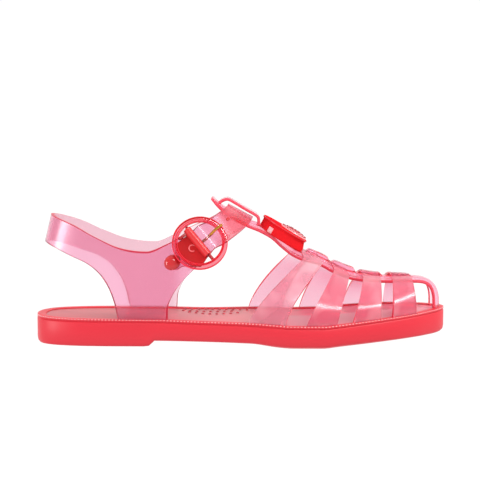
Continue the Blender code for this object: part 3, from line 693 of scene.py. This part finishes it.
def loft(sides):
    """A closed solid through rings that follow the sole's outline, closed across at both ends."""
    edge = outline()
    count = len(edge)
    ways = [(edge[(i + 1) % count] - edge[i - 1]).normalized() for i in range(count)]

    def place(i, j):
        side, point, way = sides[j], edge[i % count], ways[i % count]
        inset = side.inset + side.flat_share * sole_at(point.x, "flat_inset")
        height = sole_at(point.x, side.start) + side.lift_share * sole_at(point.x, "lift") + side.rise
        flat = point + Vector((-way.y, way.x)) * inset
        return Vector((flat.x, flat.y, height)), 1.0

    bm, _ = bent_grid(count, len(sides) - 1, place)
    bm.verts.ensure_lookup_table()
    for j in (0, len(sides) - 1):
        first = j * (count + 1)
        close_across(bm, bm.verts[first:first + count])
    bmesh.ops.remove_doubles(bm, verts=bm.verts, dist=MERGE * MM)
    bmesh.ops.recalc_face_normals(bm, faces=bm.faces)
    return bm


def close_across(bm, loop):
    """Closes a ring that starts at the heel with strips from its outer to its inner side."""
    count = len(loop)
    for i in range(count // 2):
        corners = (loop[i], loop[i + 1], loop[(count - i - 1) % count], loop[(count - i) % count])
        unique = list(dict.fromkeys(corners))
        if len(unique) > 2:
            bm.faces.new(unique)


def spun(profile, steps, matrix):
    """A turned solid: a closed side view spun about the Z axis, then placed."""
    bm = bmesh.new()
    corners = [bm.verts.new((radius * MM, 0.0, height * MM)) for radius, height in profile]
    edges = [bm.edges.new(pair) for pair in zip(corners, corners[1:])]
    if profile[0][0] > 0:
        edges.append(bm.edges.new((corners[-1], corners[0])))
    bmesh.ops.spin(
        bm,
        geom=corners + edges,
        cent=(0, 0, 0),
        axis=(0, 0, 1),
        angle=2 * math.pi,
        steps=steps,
        use_merge=True,
    )
    bmesh.ops.remove_doubles(bm, verts=bm.verts, dist=MERGE * MM)
    bmesh.ops.recalc_face_normals(bm, faces=bm.faces)
    bmesh.ops.transform(bm, matrix=matrix, verts=bm.verts)
    return bm


def add_ball(bm, radius, cells, matrix):
    """Adds a ball with cells round it and up it, and gives back its corners."""
    around, up = cells
    made = bmesh.ops.create_uvsphere(bm, u_segments=around, v_segments=up, radius=radius * MM, matrix=matrix)
    return made["verts"]


def oval(radius, shape, cells, matrix):
    """A stretched ball in its place."""
    bm = bmesh.new()
    add_ball(bm, radius, cells, Matrix())
    bmesh.ops.scale(bm, vec=shape, verts=bm.verts)
    bmesh.ops.transform(bm, matrix=matrix, verts=bm.verts)
    return bm


def block(size, bevel, matrix):
    """A box in its place, with rounded edges."""
    bm = bmesh.new()
    bmesh.ops.create_cube(bm, size=MM)
    bmesh.ops.scale(bm, vec=size, verts=bm.verts)
    bmesh.ops.transform(bm, matrix=matrix, verts=bm.verts)
    edges = bm.edges[:]
    bmesh.ops.bevel(bm, geom=edges, offset=bevel * MM, affect="EDGES", segments=2, profile=0.5, material=-1)
    return bm


# Materials


class Field:
    """A value in a material's nodes; sums and products of values add the nodes that they need."""

    def __init__(self, look, socket):
        self.look, self.socket = look, socket

    def math_node(self, operation, other):
        return self.look.node("ShaderNodeMath", {"operation": operation}, {0: self, 1: other})

    def __add__(self, other):
        return self.math_node("ADD", other)

    def __mul__(self, other):
        return self.math_node("MULTIPLY", other)

    def __sub__(self, other):
        return self.math_node("SUBTRACT", other)

    def __rsub__(self, other):
        return (self * -1.0) + other

    def __truediv__(self, other):
        return self * (1.0 / other)

    __radd__, __rmul__ = __add__, __mul__

    def clamped(self):
        return self.look.node("ShaderNodeClamp", {}, {"Value": self})


class Look:
    """A material with one Principled shader."""

    def __init__(self, name, **sockets):
        self.name = name
        self.material = bpy.data.materials.new(name)
        self.material.use_nodes = True
        self.tree = self.material.node_tree
        self.shader = self.tree.nodes["Principled BSDF"]
        self.output = self.tree.nodes["Material Output"]
        self.set(self.shader, {key.replace("_", " "): value for key, value in sockets.items()})

    def set(self, node, sockets):
        for key, value in sockets.items():
            socket = node.inputs[key]
            if isinstance(value, Field):
                self.tree.links.new(value.socket, socket)
            elif isinstance(value, tuple) and socket.type == "RGBA":
                socket.default_value = (*value, 1.0)
            else:
                socket.default_value = value

    def node(self, kind, settings, sockets, out=0):
        made = self.tree.nodes.new(kind)
        for key, value in settings.items():
            setattr(made, key, value)
        self.set(made, sockets)
        return Field(self, made.outputs[out])

    def coords(self):
        """Object coordinates, in metres."""
        return self.node("ShaderNodeTexCoord", {}, {}, out="Object")

    def place(self):
        """X, Y and Z of the shoe in millimetres."""
        parts = self.node("ShaderNodeSeparateXYZ", {}, {0: self.coords()})
        return [Field(self, socket) * (1 / MM) for socket in parts.socket.node.outputs]

    def cloud(self):
        """Soft patches, from 0 to 1, as in milky plastic and as a painted sheen."""
        sockets = {"Vector": self.coords(), "Scale": CLOUD_SCALE, "Detail": CLOUD_DETAIL}
        noise = self.node("ShaderNodeTexNoise", {}, sockets)
        return ((noise - CLOUD_START) / CLOUD_RUN).clamped()

    def blend(self, share, first, second):
        """The first colour where share is 0, the second where it is 1."""
        sockets = {MIX_SHARE: share, MIX_FIRST: first, MIX_SECOND: second}
        return self.node("ShaderNodeMix", {"data_type": "RGBA"}, sockets, out=MIX_COLOR)

    def by_side(self, near, far):
        """Tints the outer side of the foot in one way and the inner side in another; a deeper outer tint is
        painted shade, for the clear layers seen one through another.
        """
        side = self.place()[1]
        tone = self.blend((side / SIDE_BLEND + 0.5).clamped(), near, far)
        self.set(self.shader, {"Base Color": tone})

    def veil(self, share, color, glow, gloss):
        """Lays a dull tint over the clear one, as strongly as share says; its glow is painted light."""
        sockets = {
            "Base Color": color,
            "Roughness": VEIL_ROUGHNESS,
            "Coat Weight": gloss,
            "Coat Roughness": VEIL_COAT_ROUGHNESS,
            "Emission Color": glow,
            "Emission Strength": 1.0,
        }
        dull = self.node("ShaderNodeBsdfPrincipled", {}, sockets)
        clear = Field(self, self.shader.outputs[0])
        mixed = self.node("ShaderNodeMixShader", {}, {0: share, 1: clear, 2: dull})
        self.set(self.output, {"Surface": mixed})

    def absorb(self, color, density):
        """Fills the body with a clear tint that deepens with thickness."""
        tint = self.node("ShaderNodeVolumeAbsorption", {}, {"Color": color, "Density": density})
        self.set(self.output, {"Volume": tint})


def clear_look(clear):
    """Clear soft plastic."""
    look = Look(
        clear.name,
        Base_Color=PALE,
        Roughness=clear.roughness,
        IOR=CLEAR_IOR,
        Transmission_Weight=clear.clearness,
        Coat_Weight=clear.coat,
        Coat_Roughness=clear.coat_roughness,
    )
    look.absorb(clear.depth, clear.density)
    return look


def strap_look(strap):
    """A cross strap whose outer side gets a deeper, duller tint as painted shade, with pale patches of milky
    plastic and painted sheen and a faint painted glow.
    """
    look = clear_look(STRAP_CLEAR._replace(name=strap.name))
    look.by_side(strap.near, PALE)
    outer = (0.5 - look.place()[1] / SIDE_BLEND).clamped()
    milk = look.blend(look.cloud(), strap.dull, strap.milky)
    look.veil(outer * strap.veil, milk, strap.glow, STRAP_CLEAR.coat)
    return look


def band_look():
    """The back piece: deeper on the outer side and redder over the ankle there, as painted shade; glossy at
    the heel and in the ring; dull on the strap's top, with a painted glow.
    """
    look = clear_look(BAND_CLEAR)
    along, side, height = look.place()
    ankle = ((along + ANKLE_START) / ANKLE_RUN).clamped()
    far_ankle = ((along + FAR_ANKLE_START) / ANKLE_RUN).clamped()
    near = look.blend(ankle, BAND_NEAR, ANKLE_NEAR)
    look.by_side(near, look.blend(far_ankle, BAND_FAR, ANKLE_FAR))
    heel = ((-HEEL_GLOSS_END - along) / HEEL_GLOSS_RUN).clamped()
    window = ((-WINDOW_START - side) / WINDOW_RUN).clamped()
    look.set(look.shader, {"Coat Weight": (heel + window) * (1 - BAND_CLEAR.coat) + BAND_CLEAR.coat})
    top = ((height - STRAP_TOP_START) / STRAP_TOP_RUN).clamped() * ankle
    look.veil(top * STRAP_TOP_VEIL, STRAP_TOP_TINT, STRAP_TOP_GLOW, STRAP_TOP_COAT)
    return look


def strip_look():
    """The centre strip and the keeper, deeper on the outer side as painted shade, with a faint painted glow.
    """
    look = clear_look(STRIP_CLEAR)
    look.by_side(STRIP_NEAR, PALE)
    look.set(look.shader, {"Emission Color": STRIP_GLOW, "Emission Strength": STRIP_GLOW_STRENGTH})
    return look


def footbed_look():
    """Dusty pink, darker at the heel as painted shade, pinker at the front and deeper red on the inner half
    of the front as painted shadow tinted by the straps.
    """
    look = Look("footbed_pink", Roughness=FOOTBED_ROUGHNESS)
    along, side, _ = look.place()
    middle = ((along + FOOTBED_DARK_END) / FOOTBED_DARK_RUN).clamped()
    back = look.blend(middle, FOOTBED_HEEL, FOOTBED_MIDDLE)
    deep = ((side - FOOTBED_DEEP_START) / FOOTBED_DEEP_RUN).clamped()
    front = look.blend(deep, FOOTBED_FRONT, FOOTBED_DEEP)
    tone = look.blend((along / FOOTBED_DARK_RUN).clamped(), back, front)
    look.set(look.shader, {"Base Color": tone})
    return look


def make_materials():
    """Every look, by its material's name."""
    made = [strap_look(strap) for strap in STRAP_TINTS]
    made += [band_look(), strip_look(), clear_look(RING_CLEAR), footbed_look()]
    made += [Look(**finish._asdict()) for finish in FINISHES]
    return {look.name: look.material for look in made}


# Pieces of the shoe


def make_sole(looks):
    """The moulded sole and the footbed in its recess."""
    piece("outsole_moulded", loft(SIDES), looks["sole_red"], ["outsole"], SOLE_SHARP)
    inlay = loft(FOOTBED_SIDES)
    piece("footbed_inlay", inlay, looks["footbed_pink"], ["footbed"], SOLE_SHARP)


def make_rim_highlight(looks):
    """Pale dashes round the upper edge of the sole: a painted highlight along the rim's edge, broken into
    dots.
    """
    edge = outline()
    bm = bmesh.new()
    size = Matrix.Diagonal((*RIM_DASH_SIZE, 1.0))
    left = 0.0
    for before, after in zip(edge, edge[1:] + edge[:1]):
        run = (after - before).length
        way = (after - before) / run
        turn = Matrix.Rotation(math.atan2(way.y, way.x), 4, "Z")
        while left < run:
            flat = before + way * left + Vector((-way.y, way.x)) * RIM_DASH_INSET
            place = Vector((flat.x, flat.y, sole_at(flat.x, "rim") - RIM_DASH_DOWN))
            bmesh.ops.create_cube(bm, size=MM, matrix=Matrix.Translation(metres(place)) @ turn @ size)
            left += RIM_DASH_PITCH
        left -= run
    piece("sole_rim_highlight", bm, looks["rim_highlight_pale"])


def make_dots(looks):
    """Small raised dots in staggered rows under the arch of the foot."""
    bm = bmesh.new()
    for row in DOTS:
        for i in range(row.count):
            bend = (2 * i / (row.count - 1) - 1) ** 2
            x = row.first + DOT_PITCH * i
            y = row.middle + (row.ends - row.middle) * bend
            lie = Matrix.Translation(metres(Vector((x, y, sole_at(x, "rim") - FOOTBED_DOWN))))
            corners = add_ball(bm, DOT_RADIUS, DOT_CELLS, lie)
            bmesh.ops.scale(bm, vec=DOT_SHAPE, space=lie.inverted(), verts=corners)
    piece("footbed_dots", bm, looks["dot_red"])


def pad_rise(x):
    """How far the centre strip's pads stand up over it."""
    for pad in PADS:
        if pad.back < x < pad.front:
            way = (x - pad.back) / (pad.front - pad.back)
            rise = pad.rise_back + (pad.rise_front - pad.rise_back) * way + pad.bow * 4 * way * (1 - way)
            return rise * ease((x - pad.back) / PAD_BACK_RAMP) * ease((pad.front - x) / PAD_FRONT_RAMP)
    return 0.0


def strip_runs():
    """Places along the centre strip, evenly spaced."""
    fine = [i / STRIP_SAMPLES for i in range(STRIP_SAMPLES * (len(CREST) - 1) + 1)]
    points = [spine_point(run, 0.0) for run in fine]
    lengths = [0.0]
    for a, b in zip(points, points[1:]):
        lengths.append(lengths[-1] + (b - a).length)
    line = Line(lengths, fine)
    cells = round(lengths[-1] / STRIP_STEP)
    return [line.at(lengths[-1] * i / cells) for i in range(cells + 1)]


def make_strip(looks):
    """The centre strip from pull tab to toe, with its pads."""
    runs = strip_runs()
    across = [-a for a in STRIP_ACROSS[:0:-1]] + list(STRIP_ACROSS)

    def place(i, j):
        run, side = runs[i], across[j]
        wall = WALL * (TAB_TIP + (1 - TAB_TIP) * ease(run / TAB_TAPER))
        if abs(side) < PAD_HALF:
            wall += pad_rise(crest_at(run).x)
        return spine_point(run, side), wall

    bm, thickest = bent_grid(len(runs) - 1, len(across) - 1, place)
    face_away(bm, STRIP_AXIS)
    # The pads' outer top line gets the edge red: a painted dark line with a painted glow.
    raised = [pad_rise(crest_at(run).x) > 0 for run in runs]
    padded = [i for i in range(len(runs) - 1) if raised[i] and raised[i + 1]]
    tint_row(bm, len(runs) - 1, across.index(-PAD_LINE), padded)
    made = piece("vamp_centre_strip", bm, looks["strip_pink"], ["vamp"])
    wall_of(made, thickest, COARSE_LEVELS, looks["edge_red"])


def make_cross_strap(number, crossing, looks):
    """A strap from rim to rim: way is -1 and 1 at the strip's edges, and -WAY_END and WAY_END at the rim."""
    side_cells = [1 + i / STRAP_SIDE_CELLS for i in range(1, STRAP_SIDE_CELLS + 1)]
    top_cells = [2 * i / STRAP_TOP_CELLS - 1 for i in range(STRAP_TOP_CELLS + 1)]
    ways = [-s for s in side_cells[::-1]] + top_cells + side_cells

    def inner(share, way):
        top_x = crossing.top_back + (crossing.top_front - crossing.top_back) * share
        run = run_of(top_x + crossing.skew * min(max((way + 1) / 2, 0.0), 1.0))
        if abs(way) <= 1:
            return spine_point(run, way)
        side = math.copysign(1.0, way)
        base_x = crossing.base_back + (crossing.base_front - crossing.base_back) * share
        base_x -= crossing.inner_back if side > 0 else 0.0
        lean = crossing.lean_back + (crossing.lean_front - crossing.lean_back) * share
        return strap_point(run, side, base_x, abs(way) - 1, lean)

    def place(i, j):
        share, way = STRAP_SHARES[i], ways[j]
        along = inner(min(share + SLOPE_STEP, 1.0), way) - inner(max(share - SLOPE_STEP, 0.0), way)
        over = inner(share, min(way + SLOPE_STEP, WAY_END)) - inner(share, max(way - SLOPE_STEP, -WAY_END))
        out = along.cross(over).normalized()
        down = 1 - ease((abs(way) - 1) / SHOULDER_RUN)
        low = (WALL - INTO_STRIP) * down
        high = WALL + STRAP_PROUD * down
        return inner(share, way) + out * low, high - low

    bm, thickest = bent_grid(len(STRAP_SHARES) - 1, len(ways) - 1, place)
    face_away(bm, STRAP_AXIS)
    look = looks["strap_first_pink"] if number == 1 else looks["upper_pink"]
    made = piece("vamp_cross_strap_%d" % number, bm, look)
    wall_of(made, thickest, FINE_LEVELS, looks["rim_red"])


def make_keeper(looks):
    """The loop on the centre strip that the ankle strap passes through."""
    xs, zs = curves(KEEPER)

    def place(i, j):
        at = i * (len(KEEPER) - 1) / KEEPER_CELLS
        return Vector((xs.at(at), KEEPER_ACROSS[j] * KEEPER_HALF, zs.at(at))), KEEPER_WALL

    bm, thickest = bent_grid(KEEPER_CELLS, len(KEEPER_ACROSS) - 1, place)
    made = piece("vamp_keeper", bm, looks["strip_pink"])
    wall_of(made, thickest, COARSE_LEVELS, looks["edge_red"], offset=0.0)


def strap_height(along):
    """Height of the strap's middle over the ring's middle plane where it passes the ring."""
    height = STRAP_UNDER_RING - LEFT_DROP * ease((HUMP_TOP - along) / HUMP_TOP)
    if HUMP_BACK < along < HUMP_FRONT:
        reach = (HUMP_FRONT if along > HUMP_TOP else HUMP_BACK) - HUMP_TOP
        height += STRAP_HUMP * (1 + math.cos(math.pi * (along - HUMP_TOP) / reach)) / 2
    if along < DROP_START:
        share = (DROP_START - along) / (DROP_START - STRAP_TIP)
        height -= TIP_DROP * share ** TIP_CURVE
    return height


def strap_width(along):
    """Half of the strap's width, narrowing to a rounded tip."""
    half = STRAP_HALF - (STRAP_HALF - TIP_HALF) * ease((TAPER_START - along) / TAPER_LENGTH)
    into_round = min(max((STRAP_TIP + TIP_HALF - along) / TIP_HALF, 0.0), TIP_BLUNT)
    return half * math.sqrt(1 - into_round ** 2)


def hermite(a, a_way, b, b_way, t):
    """A cubic curve that leaves a along a_way and reaches b along b_way."""
    t2, t3 = t * t, t * t * t
    return a * (2 * t3 - 3 * t2 + 1) + a_way * (t3 - 2 * t2 + t) + b * (3 * t2 - 2 * t3) + b_way * (t3 - t2)


def arch_at(t):
    """Middle and upward way of the ankle strap from the ring (0) to the keeper (1)."""
    start = ring_point(RING_OUTER, 0.0, STRAP_UNDER_RING - STRAP_WALL / 2)
    way = (start - STRAP_OVER_KEEPER).length
    middle = hermite(start, RING_ALONG * way, STRAP_OVER_KEEPER, Vector((0.0, way, 0.0)), t)
    turn = Vector((-math.cos(INSTEP_SLOPE), 0.0, math.sin(INSTEP_SLOPE)))
    return middle, (RING_ACROSS * (1 - t) + turn * t).normalized()


def band_rows():
    """Both edges of the back piece, from the tongue round the heel and over the instep to the strap's tip."""

    def side_row(row, side):
        onward = min(1.0, (row.low_x - QUARTER[0].low_x) / FORWARD_RUN)
        forward = INNER_SIDE_FORWARD * onward if side > 0 else 0.0
        inward = INNER_SIDE_IN if side > 0 and row.low_y > HEEL_TURN_HALF else 0.0
        low = Vector((row.low_x + forward, side * (row.low_y - inward), row.low_z))
        high = Vector((row.high_x + forward * FORWARD_AT_TOP, side * row.high_y, row.high_z))
        return low, high

    rows = []
    for tongue in TONGUE:
        low, high = (ring_point(tongue.along, end * tongue.half, -TONGUE_DEPTH) for end in (-1, 1))
        rows.append((low, high))
    rows += [side_row(row, -1) for row in QUARTER[::-1]]
    rows += [side_row(row, 1) for row in QUARTER[1:]]
    for i in range(2 * ARCH_STEPS + 1):
        middle, across = arch_at(1 - abs(i - ARCH_STEPS) / ARCH_STEPS)
        pair = (middle - across * STRAP_HALF, middle + across * STRAP_HALF)
        if i < ARCH_STEPS:
            down = FAR_STRAP_DOWN * ease((1 - i / ARCH_STEPS) / FAR_STRAP_RUN)
            pair = tuple(Vector((p.x, -p.y, p.z - down)) for p in pair)
        rows.append(pair)
    along = RING_OUTER
    while along > STRAP_TIP:
        along = max(along - RING_STRAP_STEP, STRAP_TIP)
        half = strap_width(along)
        height = strap_height(along) - STRAP_WALL / 2
        rows.append((ring_point(along, -half, height), ring_point(along, half, height)))
    return rows


def make_quarters(looks):
    """The back piece in one band: tongue, legs, heel strap and ankle strap."""
    rows = band_rows()
    low_lines, high_lines = (curves(edge) for edge in zip(*rows))
    places = [i / BAND_FINE for i in range(BAND_FINE * (len(rows) - 1) + 1)]
    heel_row = len(TONGUE) + len(QUARTER) - 1

    def place(i, j):
        at, share = places[i], BAND_SHARES[j]
        low = Vector([line.at(at) for line in low_lines])
        high = Vector([line.at(at) for line in high_lines])
        side = -1 if at < heel_row else 1
        leg = max(0.0, 1 - abs(abs(at - heel_row) - LEG_ROW) / LEG_ROWS)
        out = Vector((0.0, side * LEG_BULGE * leg * 4 * share * (1 - share), 0.0))
        return low.lerp(high, share) + out, BAND_WALL

    bm, thickest = bent_grid(len(places) - 1, len(BAND_SHARES) - 1, place)
    face_away(bm, BAND_AXIS)
    # The outer side's top row gets the darker line: painted shade with a faint painted glow along the band's
    # top edge.
    outer_side = range(len(TONGUE) * BAND_FINE, heel_row * BAND_FINE)
    tint_row(bm, len(places) - 1, len(BAND_SHARES) - 2, outer_side)
    made = piece("quarters_band", bm, looks["band_pink"], ["quarters"])
    wall_of(made, thickest, FINE_LEVELS, looks["band_line_red"])


def make_strap_hole(looks):
    """A spare hole of the ankle strap, seen as a dark spot: a dark oval painted as the shade in the hole."""
    middle, up = arch_at(HOLE_WAY)
    ahead = (arch_at(HOLE_WAY + HOLE_STEP)[0] - middle).normalized()
    out = ahead.cross(up)
    turn = Matrix((ahead, up, out)).transposed().to_4x4()
    out = out if out.y < 0 else -out
    lie = Matrix.Translation(metres(middle + up * HOLE_UP + out * STRAP_WALL)) @ turn
    piece("strap_hole", oval(HOLE_RADIUS, HOLE_SHAPE, HOLE_CELLS, lie), looks["hole_red"])


def ring_lie(place):
    """Where a piece stands in the ring's own directions."""
    turn = Matrix((RING_ALONG, RING_ACROSS, RING_OUT)).transposed().to_4x4()
    return Matrix.Translation(metres(ring_point(*place))) @ turn


def make_ring(looks):
    """The round frame of the buckle, with its walls in a darker line with a glow: painted shade and painted
    light of its edges.
    """
    bm = spun(RING_SIDE, RING_STEPS, ring_lie((0.0, 0.0, 0.0)))
    for face in bm.faces:
        face.material_index = int(abs(face.normal.dot(RING_OUT)) < RING_LINE)
    made = piece("buckle_ring_moulded", bm, looks["buckle_pink"], ["buckle_ring"], RING_SHARP)
    made.data.materials.append(looks["ring_line_red"])


def folded(name, path, up, down, flare, material):
    """A strip of the tongue: its side view, carried across the ring and kept inside the ring's rim."""
    alongs, outs = curves(path)

    def place(i, j):
        at = i * (len(path) - 1) / LOOP_CELLS
        along, across = alongs.at(at), LOOP_ACROSS[j]
        half = up if across > 0 else down - flare * along
        half = min(half, math.sqrt(LOOP_REACH ** 2 - along ** 2))
        return ring_point(along, across * half, outs.at(at)), LOOP_WALL

    bm, thickest = bent_grid(LOOP_CELLS, len(LOOP_ACROSS) - 1, place)
    made = piece(name, bm, material)
    wall_of(made, thickest, FINE_LEVELS, material, offset=0.0)


def make_loop(looks):
    """The tongue folded round the bar, a plate and a roll, with the strap's tip and the clip beside it."""
    folded("buckle_loop", LOOP, LOOP_HALF, LOOP_HALF, LOOP_FLARE, looks["loop_red"])
    folded("buckle_roll", ROLL, ROLL_UP, LOOP_HALF, 0.0, looks["roll_red"])
    tip = oval(BALL_RADIUS, BALL_SHAPE, BALL_CELLS, ring_lie(BALL_PLACE))
    piece("strap_tip", tip, looks["ball_red"])
    clip = block(CLIP_SIZE, CLIP_BEVEL, ring_lie(CLIP_PLACE))
    piece("buckle_clip", clip, looks["dark_bronze"], (), BLOCK_SHARP)


def make_prong_slot(looks):
    """The raised lip, three quarters of a circle, round the prong's slot in the tongue, painted paler pink as
    its highlight.
    """
    lip = bmesh.new()
    corners = bmesh.ops.create_circle(lip, segments=LIP_SIDES, radius=LIP_RADIUS * MM)["verts"]
    bmesh.ops.rotate(lip, verts=corners, cent=(0, 0, 0), matrix=Matrix.Rotation(math.pi / 2, 3, "X"))
    bmesh.ops.translate(lip, verts=corners, vec=(SLOT_RADIUS * MM, 0, 0))
    start = lip.verts[:] + lip.edges[:]
    bmesh.ops.spin(lip, geom=start, cent=(0, 0, 0), axis=(0, 0, 1), angle=SLOT_TURN, steps=SLOT_STEPS)
    bmesh.ops.holes_fill(lip, edges=lip.edges[:], sides=LIP_SIDES)
    bmesh.ops.recalc_face_normals(lip, faces=lip.faces)
    bmesh.ops.transform(lip, matrix=ring_lie(SLOT_PLACE), verts=lip.verts)
    piece("prong_slot", lip, looks["slot_pink"])


def make_coin(looks, lie):
    """A low coin with round ridges and beads on the medallion's forward half; the walls of its outer ridges
    are painted pale as highlights.
    """
    ahead = lie @ Matrix.Translation((COIN_FORWARD * MM, 0.0, 0.0))
    coin = spun(COIN_SIDE, COIN_STEPS, Matrix())
    for face in coin.faces:
        outside = face.calc_center_median().to_2d().length > COIN_MIDDLE * MM
        face.material_index = int(outside and abs(face.normal.z) < COIN_LINE)
    bmesh.ops.transform(coin, matrix=ahead, verts=coin.verts)
    made = piece("medallion_coin", coin, looks["medallion_coin"], (), MEDALLION_SHARP)
    made.data.materials.append(looks["medallion_ridge_highlight"])
    beads = bmesh.new()
    for row in COIN_BEADS:
        for i in range(row.count):
            turn = 2 * math.pi * i / row.count
            place = Vector((row.radius * math.cos(turn), row.radius * math.sin(turn), row.height)) * MM
            add_ball(beads, BEAD_RADIUS, BEAD_CELLS, ahead @ Matrix.Translation(place))
    piece("medallion_beads", beads, looks["bead_red"])


def make_medallion(looks):
    """A red disc with a flanged top and a coin on it, and a slot in its side."""
    lie = Matrix.Translation(metres(MEDALLION_PLACE)) @ Matrix.Rotation(MEDALLION_TILT, 4, "Y")
    disc = spun(MEDALLION_SIDE, MEDALLION_STEPS, Matrix())
    for corner in disc.verts:
        down, ahead = max(-corner.co.z, 0.0), max(corner.co.x, 0.0)
        corner.co.x += MEDALLION_LEAN * down * ahead / (MEDALLION_FOOT * MM)
    bmesh.ops.transform(disc, matrix=lie, verts=disc.verts)
    piece("medallion_disc", disc, looks["medallion_red"], ["medallion"], MEDALLION_SHARP)
    line = spun(MEDALLION_LINE, MEDALLION_STEPS, lie)
    piece("medallion_line", line, looks["medallion_coin"], (), MEDALLION_SHARP)
    make_coin(looks, lie)
    out = Matrix.Rotation(SIDE_SLOT_TURN, 4, "Z") @ Matrix.Translation(Vector(SIDE_SLOT_PLACE) * MM)
    slot = block(SIDE_SLOT_SIZE, SIDE_SLOT_BEVEL, lie @ out)
    piece("medallion_slot", slot, looks["medallion_pale"], (), BLOCK_SHARP)


def finish_cad_nodes(looks):
    """Nodes that keep their own solids get a better finish."""
    for name, look in (("buckle_bar", "dark_bronze"), ("buckle_prong", "brass")):
        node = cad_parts[name]
        node.data.materials.clear()
        node.data.materials.append(looks[look])


# Studio


def make_world():
    """A white surround, brighter behind the shoe, and light that passes through many walls."""
    scene = bpy.context.scene
    scene.view_settings.view_transform = "Standard"
    scene.cycles.max_bounces = LIGHT_BOUNCES
    scene.cycles.transmission_bounces = LIGHT_BOUNCES
    world = bpy.data.worlds.new("white_surround")
    world.use_nodes = True
    nodes, links = world.node_tree.nodes, world.node_tree.links
    coords = nodes.new("ShaderNodeTexCoord")
    parts = nodes.new("ShaderNodeSeparateXYZ")
    fade = nodes.new("ShaderNodeMapRange")
    fade.inputs["From Min"].default_value = -WORLD_FADE
    fade.inputs["From Max"].default_value = WORLD_FADE
    fade.inputs["To Min"].default_value = WORLD_FRONT
    fade.inputs["To Max"].default_value = WORLD_BACK
    links.new(coords.outputs["Generated"], parts.inputs[0])
    links.new(parts.outputs["Y"], fade.inputs["Value"])
    links.new(fade.outputs[0], nodes["Background"].inputs["Strength"])
    nodes["Background"].inputs["Color"].default_value = (*WHITE, 1.0)
    scene.world = world


def make_floor(looks):
    bm = bmesh.new()
    bmesh.ops.create_grid(bm, x_segments=1, y_segments=1, size=FLOOR_HALF)
    mesh = bpy.data.meshes.new("studio_floor")
    bm.to_mesh(mesh)
    bm.free()
    floor = bpy.data.objects.new("studio_floor", mesh)
    mesh.materials.append(looks["studio_floor"])
    bpy.context.scene.collection.objects.link(floor)


def make_lamp(lamp):
    """A soft box that faces its aim."""
    light = bpy.data.lights.new(lamp.name, "AREA")
    light.shape = "RECTANGLE"
    light.size, light.size_y = lamp.size
    light.energy = lamp.power
    made = bpy.data.objects.new(lamp.name, light)
    made.location = lamp.place
    made.rotation_euler = (Vector(lamp.aim) - Vector(lamp.place)).to_track_quat("-Z", "Y").to_euler()
    bpy.context.scene.collection.objects.link(made)


def make_camera():
    lens = bpy.data.cameras.new("camera")
    camera = bpy.data.objects.new("camera", lens)
    ahead = Vector((0.0, math.cos(CAMERA_PITCH), -math.sin(CAMERA_PITCH)))
    camera.location = CAMERA_TARGET - ahead * CAMERA_DISTANCE
    camera.rotation_euler = ahead.to_track_quat("-Z", "Y").to_euler()
    lens.sensor_width = SENSOR
    lens.lens = SENSOR * PIXELS_PER_MM * CAMERA_DISTANCE / MM / IMAGE_SIDE
    bpy.context.scene.collection.objects.link(camera)
    bpy.context.scene.camera = camera


def main():
    looks = make_materials()
    make_sole(looks)
    make_rim_highlight(looks)
    make_dots(looks)
    make_strip(looks)
    for number, crossing in enumerate(CROSSINGS, 1):
        make_cross_strap(number, crossing, looks)
    make_keeper(looks)
    make_quarters(looks)
    make_strap_hole(looks)
    make_ring(looks)
    make_loop(looks)
    make_prong_slot(looks)
    make_medallion(looks)
    finish_cad_nodes(looks)
    make_world()
    make_floor(looks)
    for lamp in LAMPS:
        make_lamp(lamp)
    make_camera()


main()
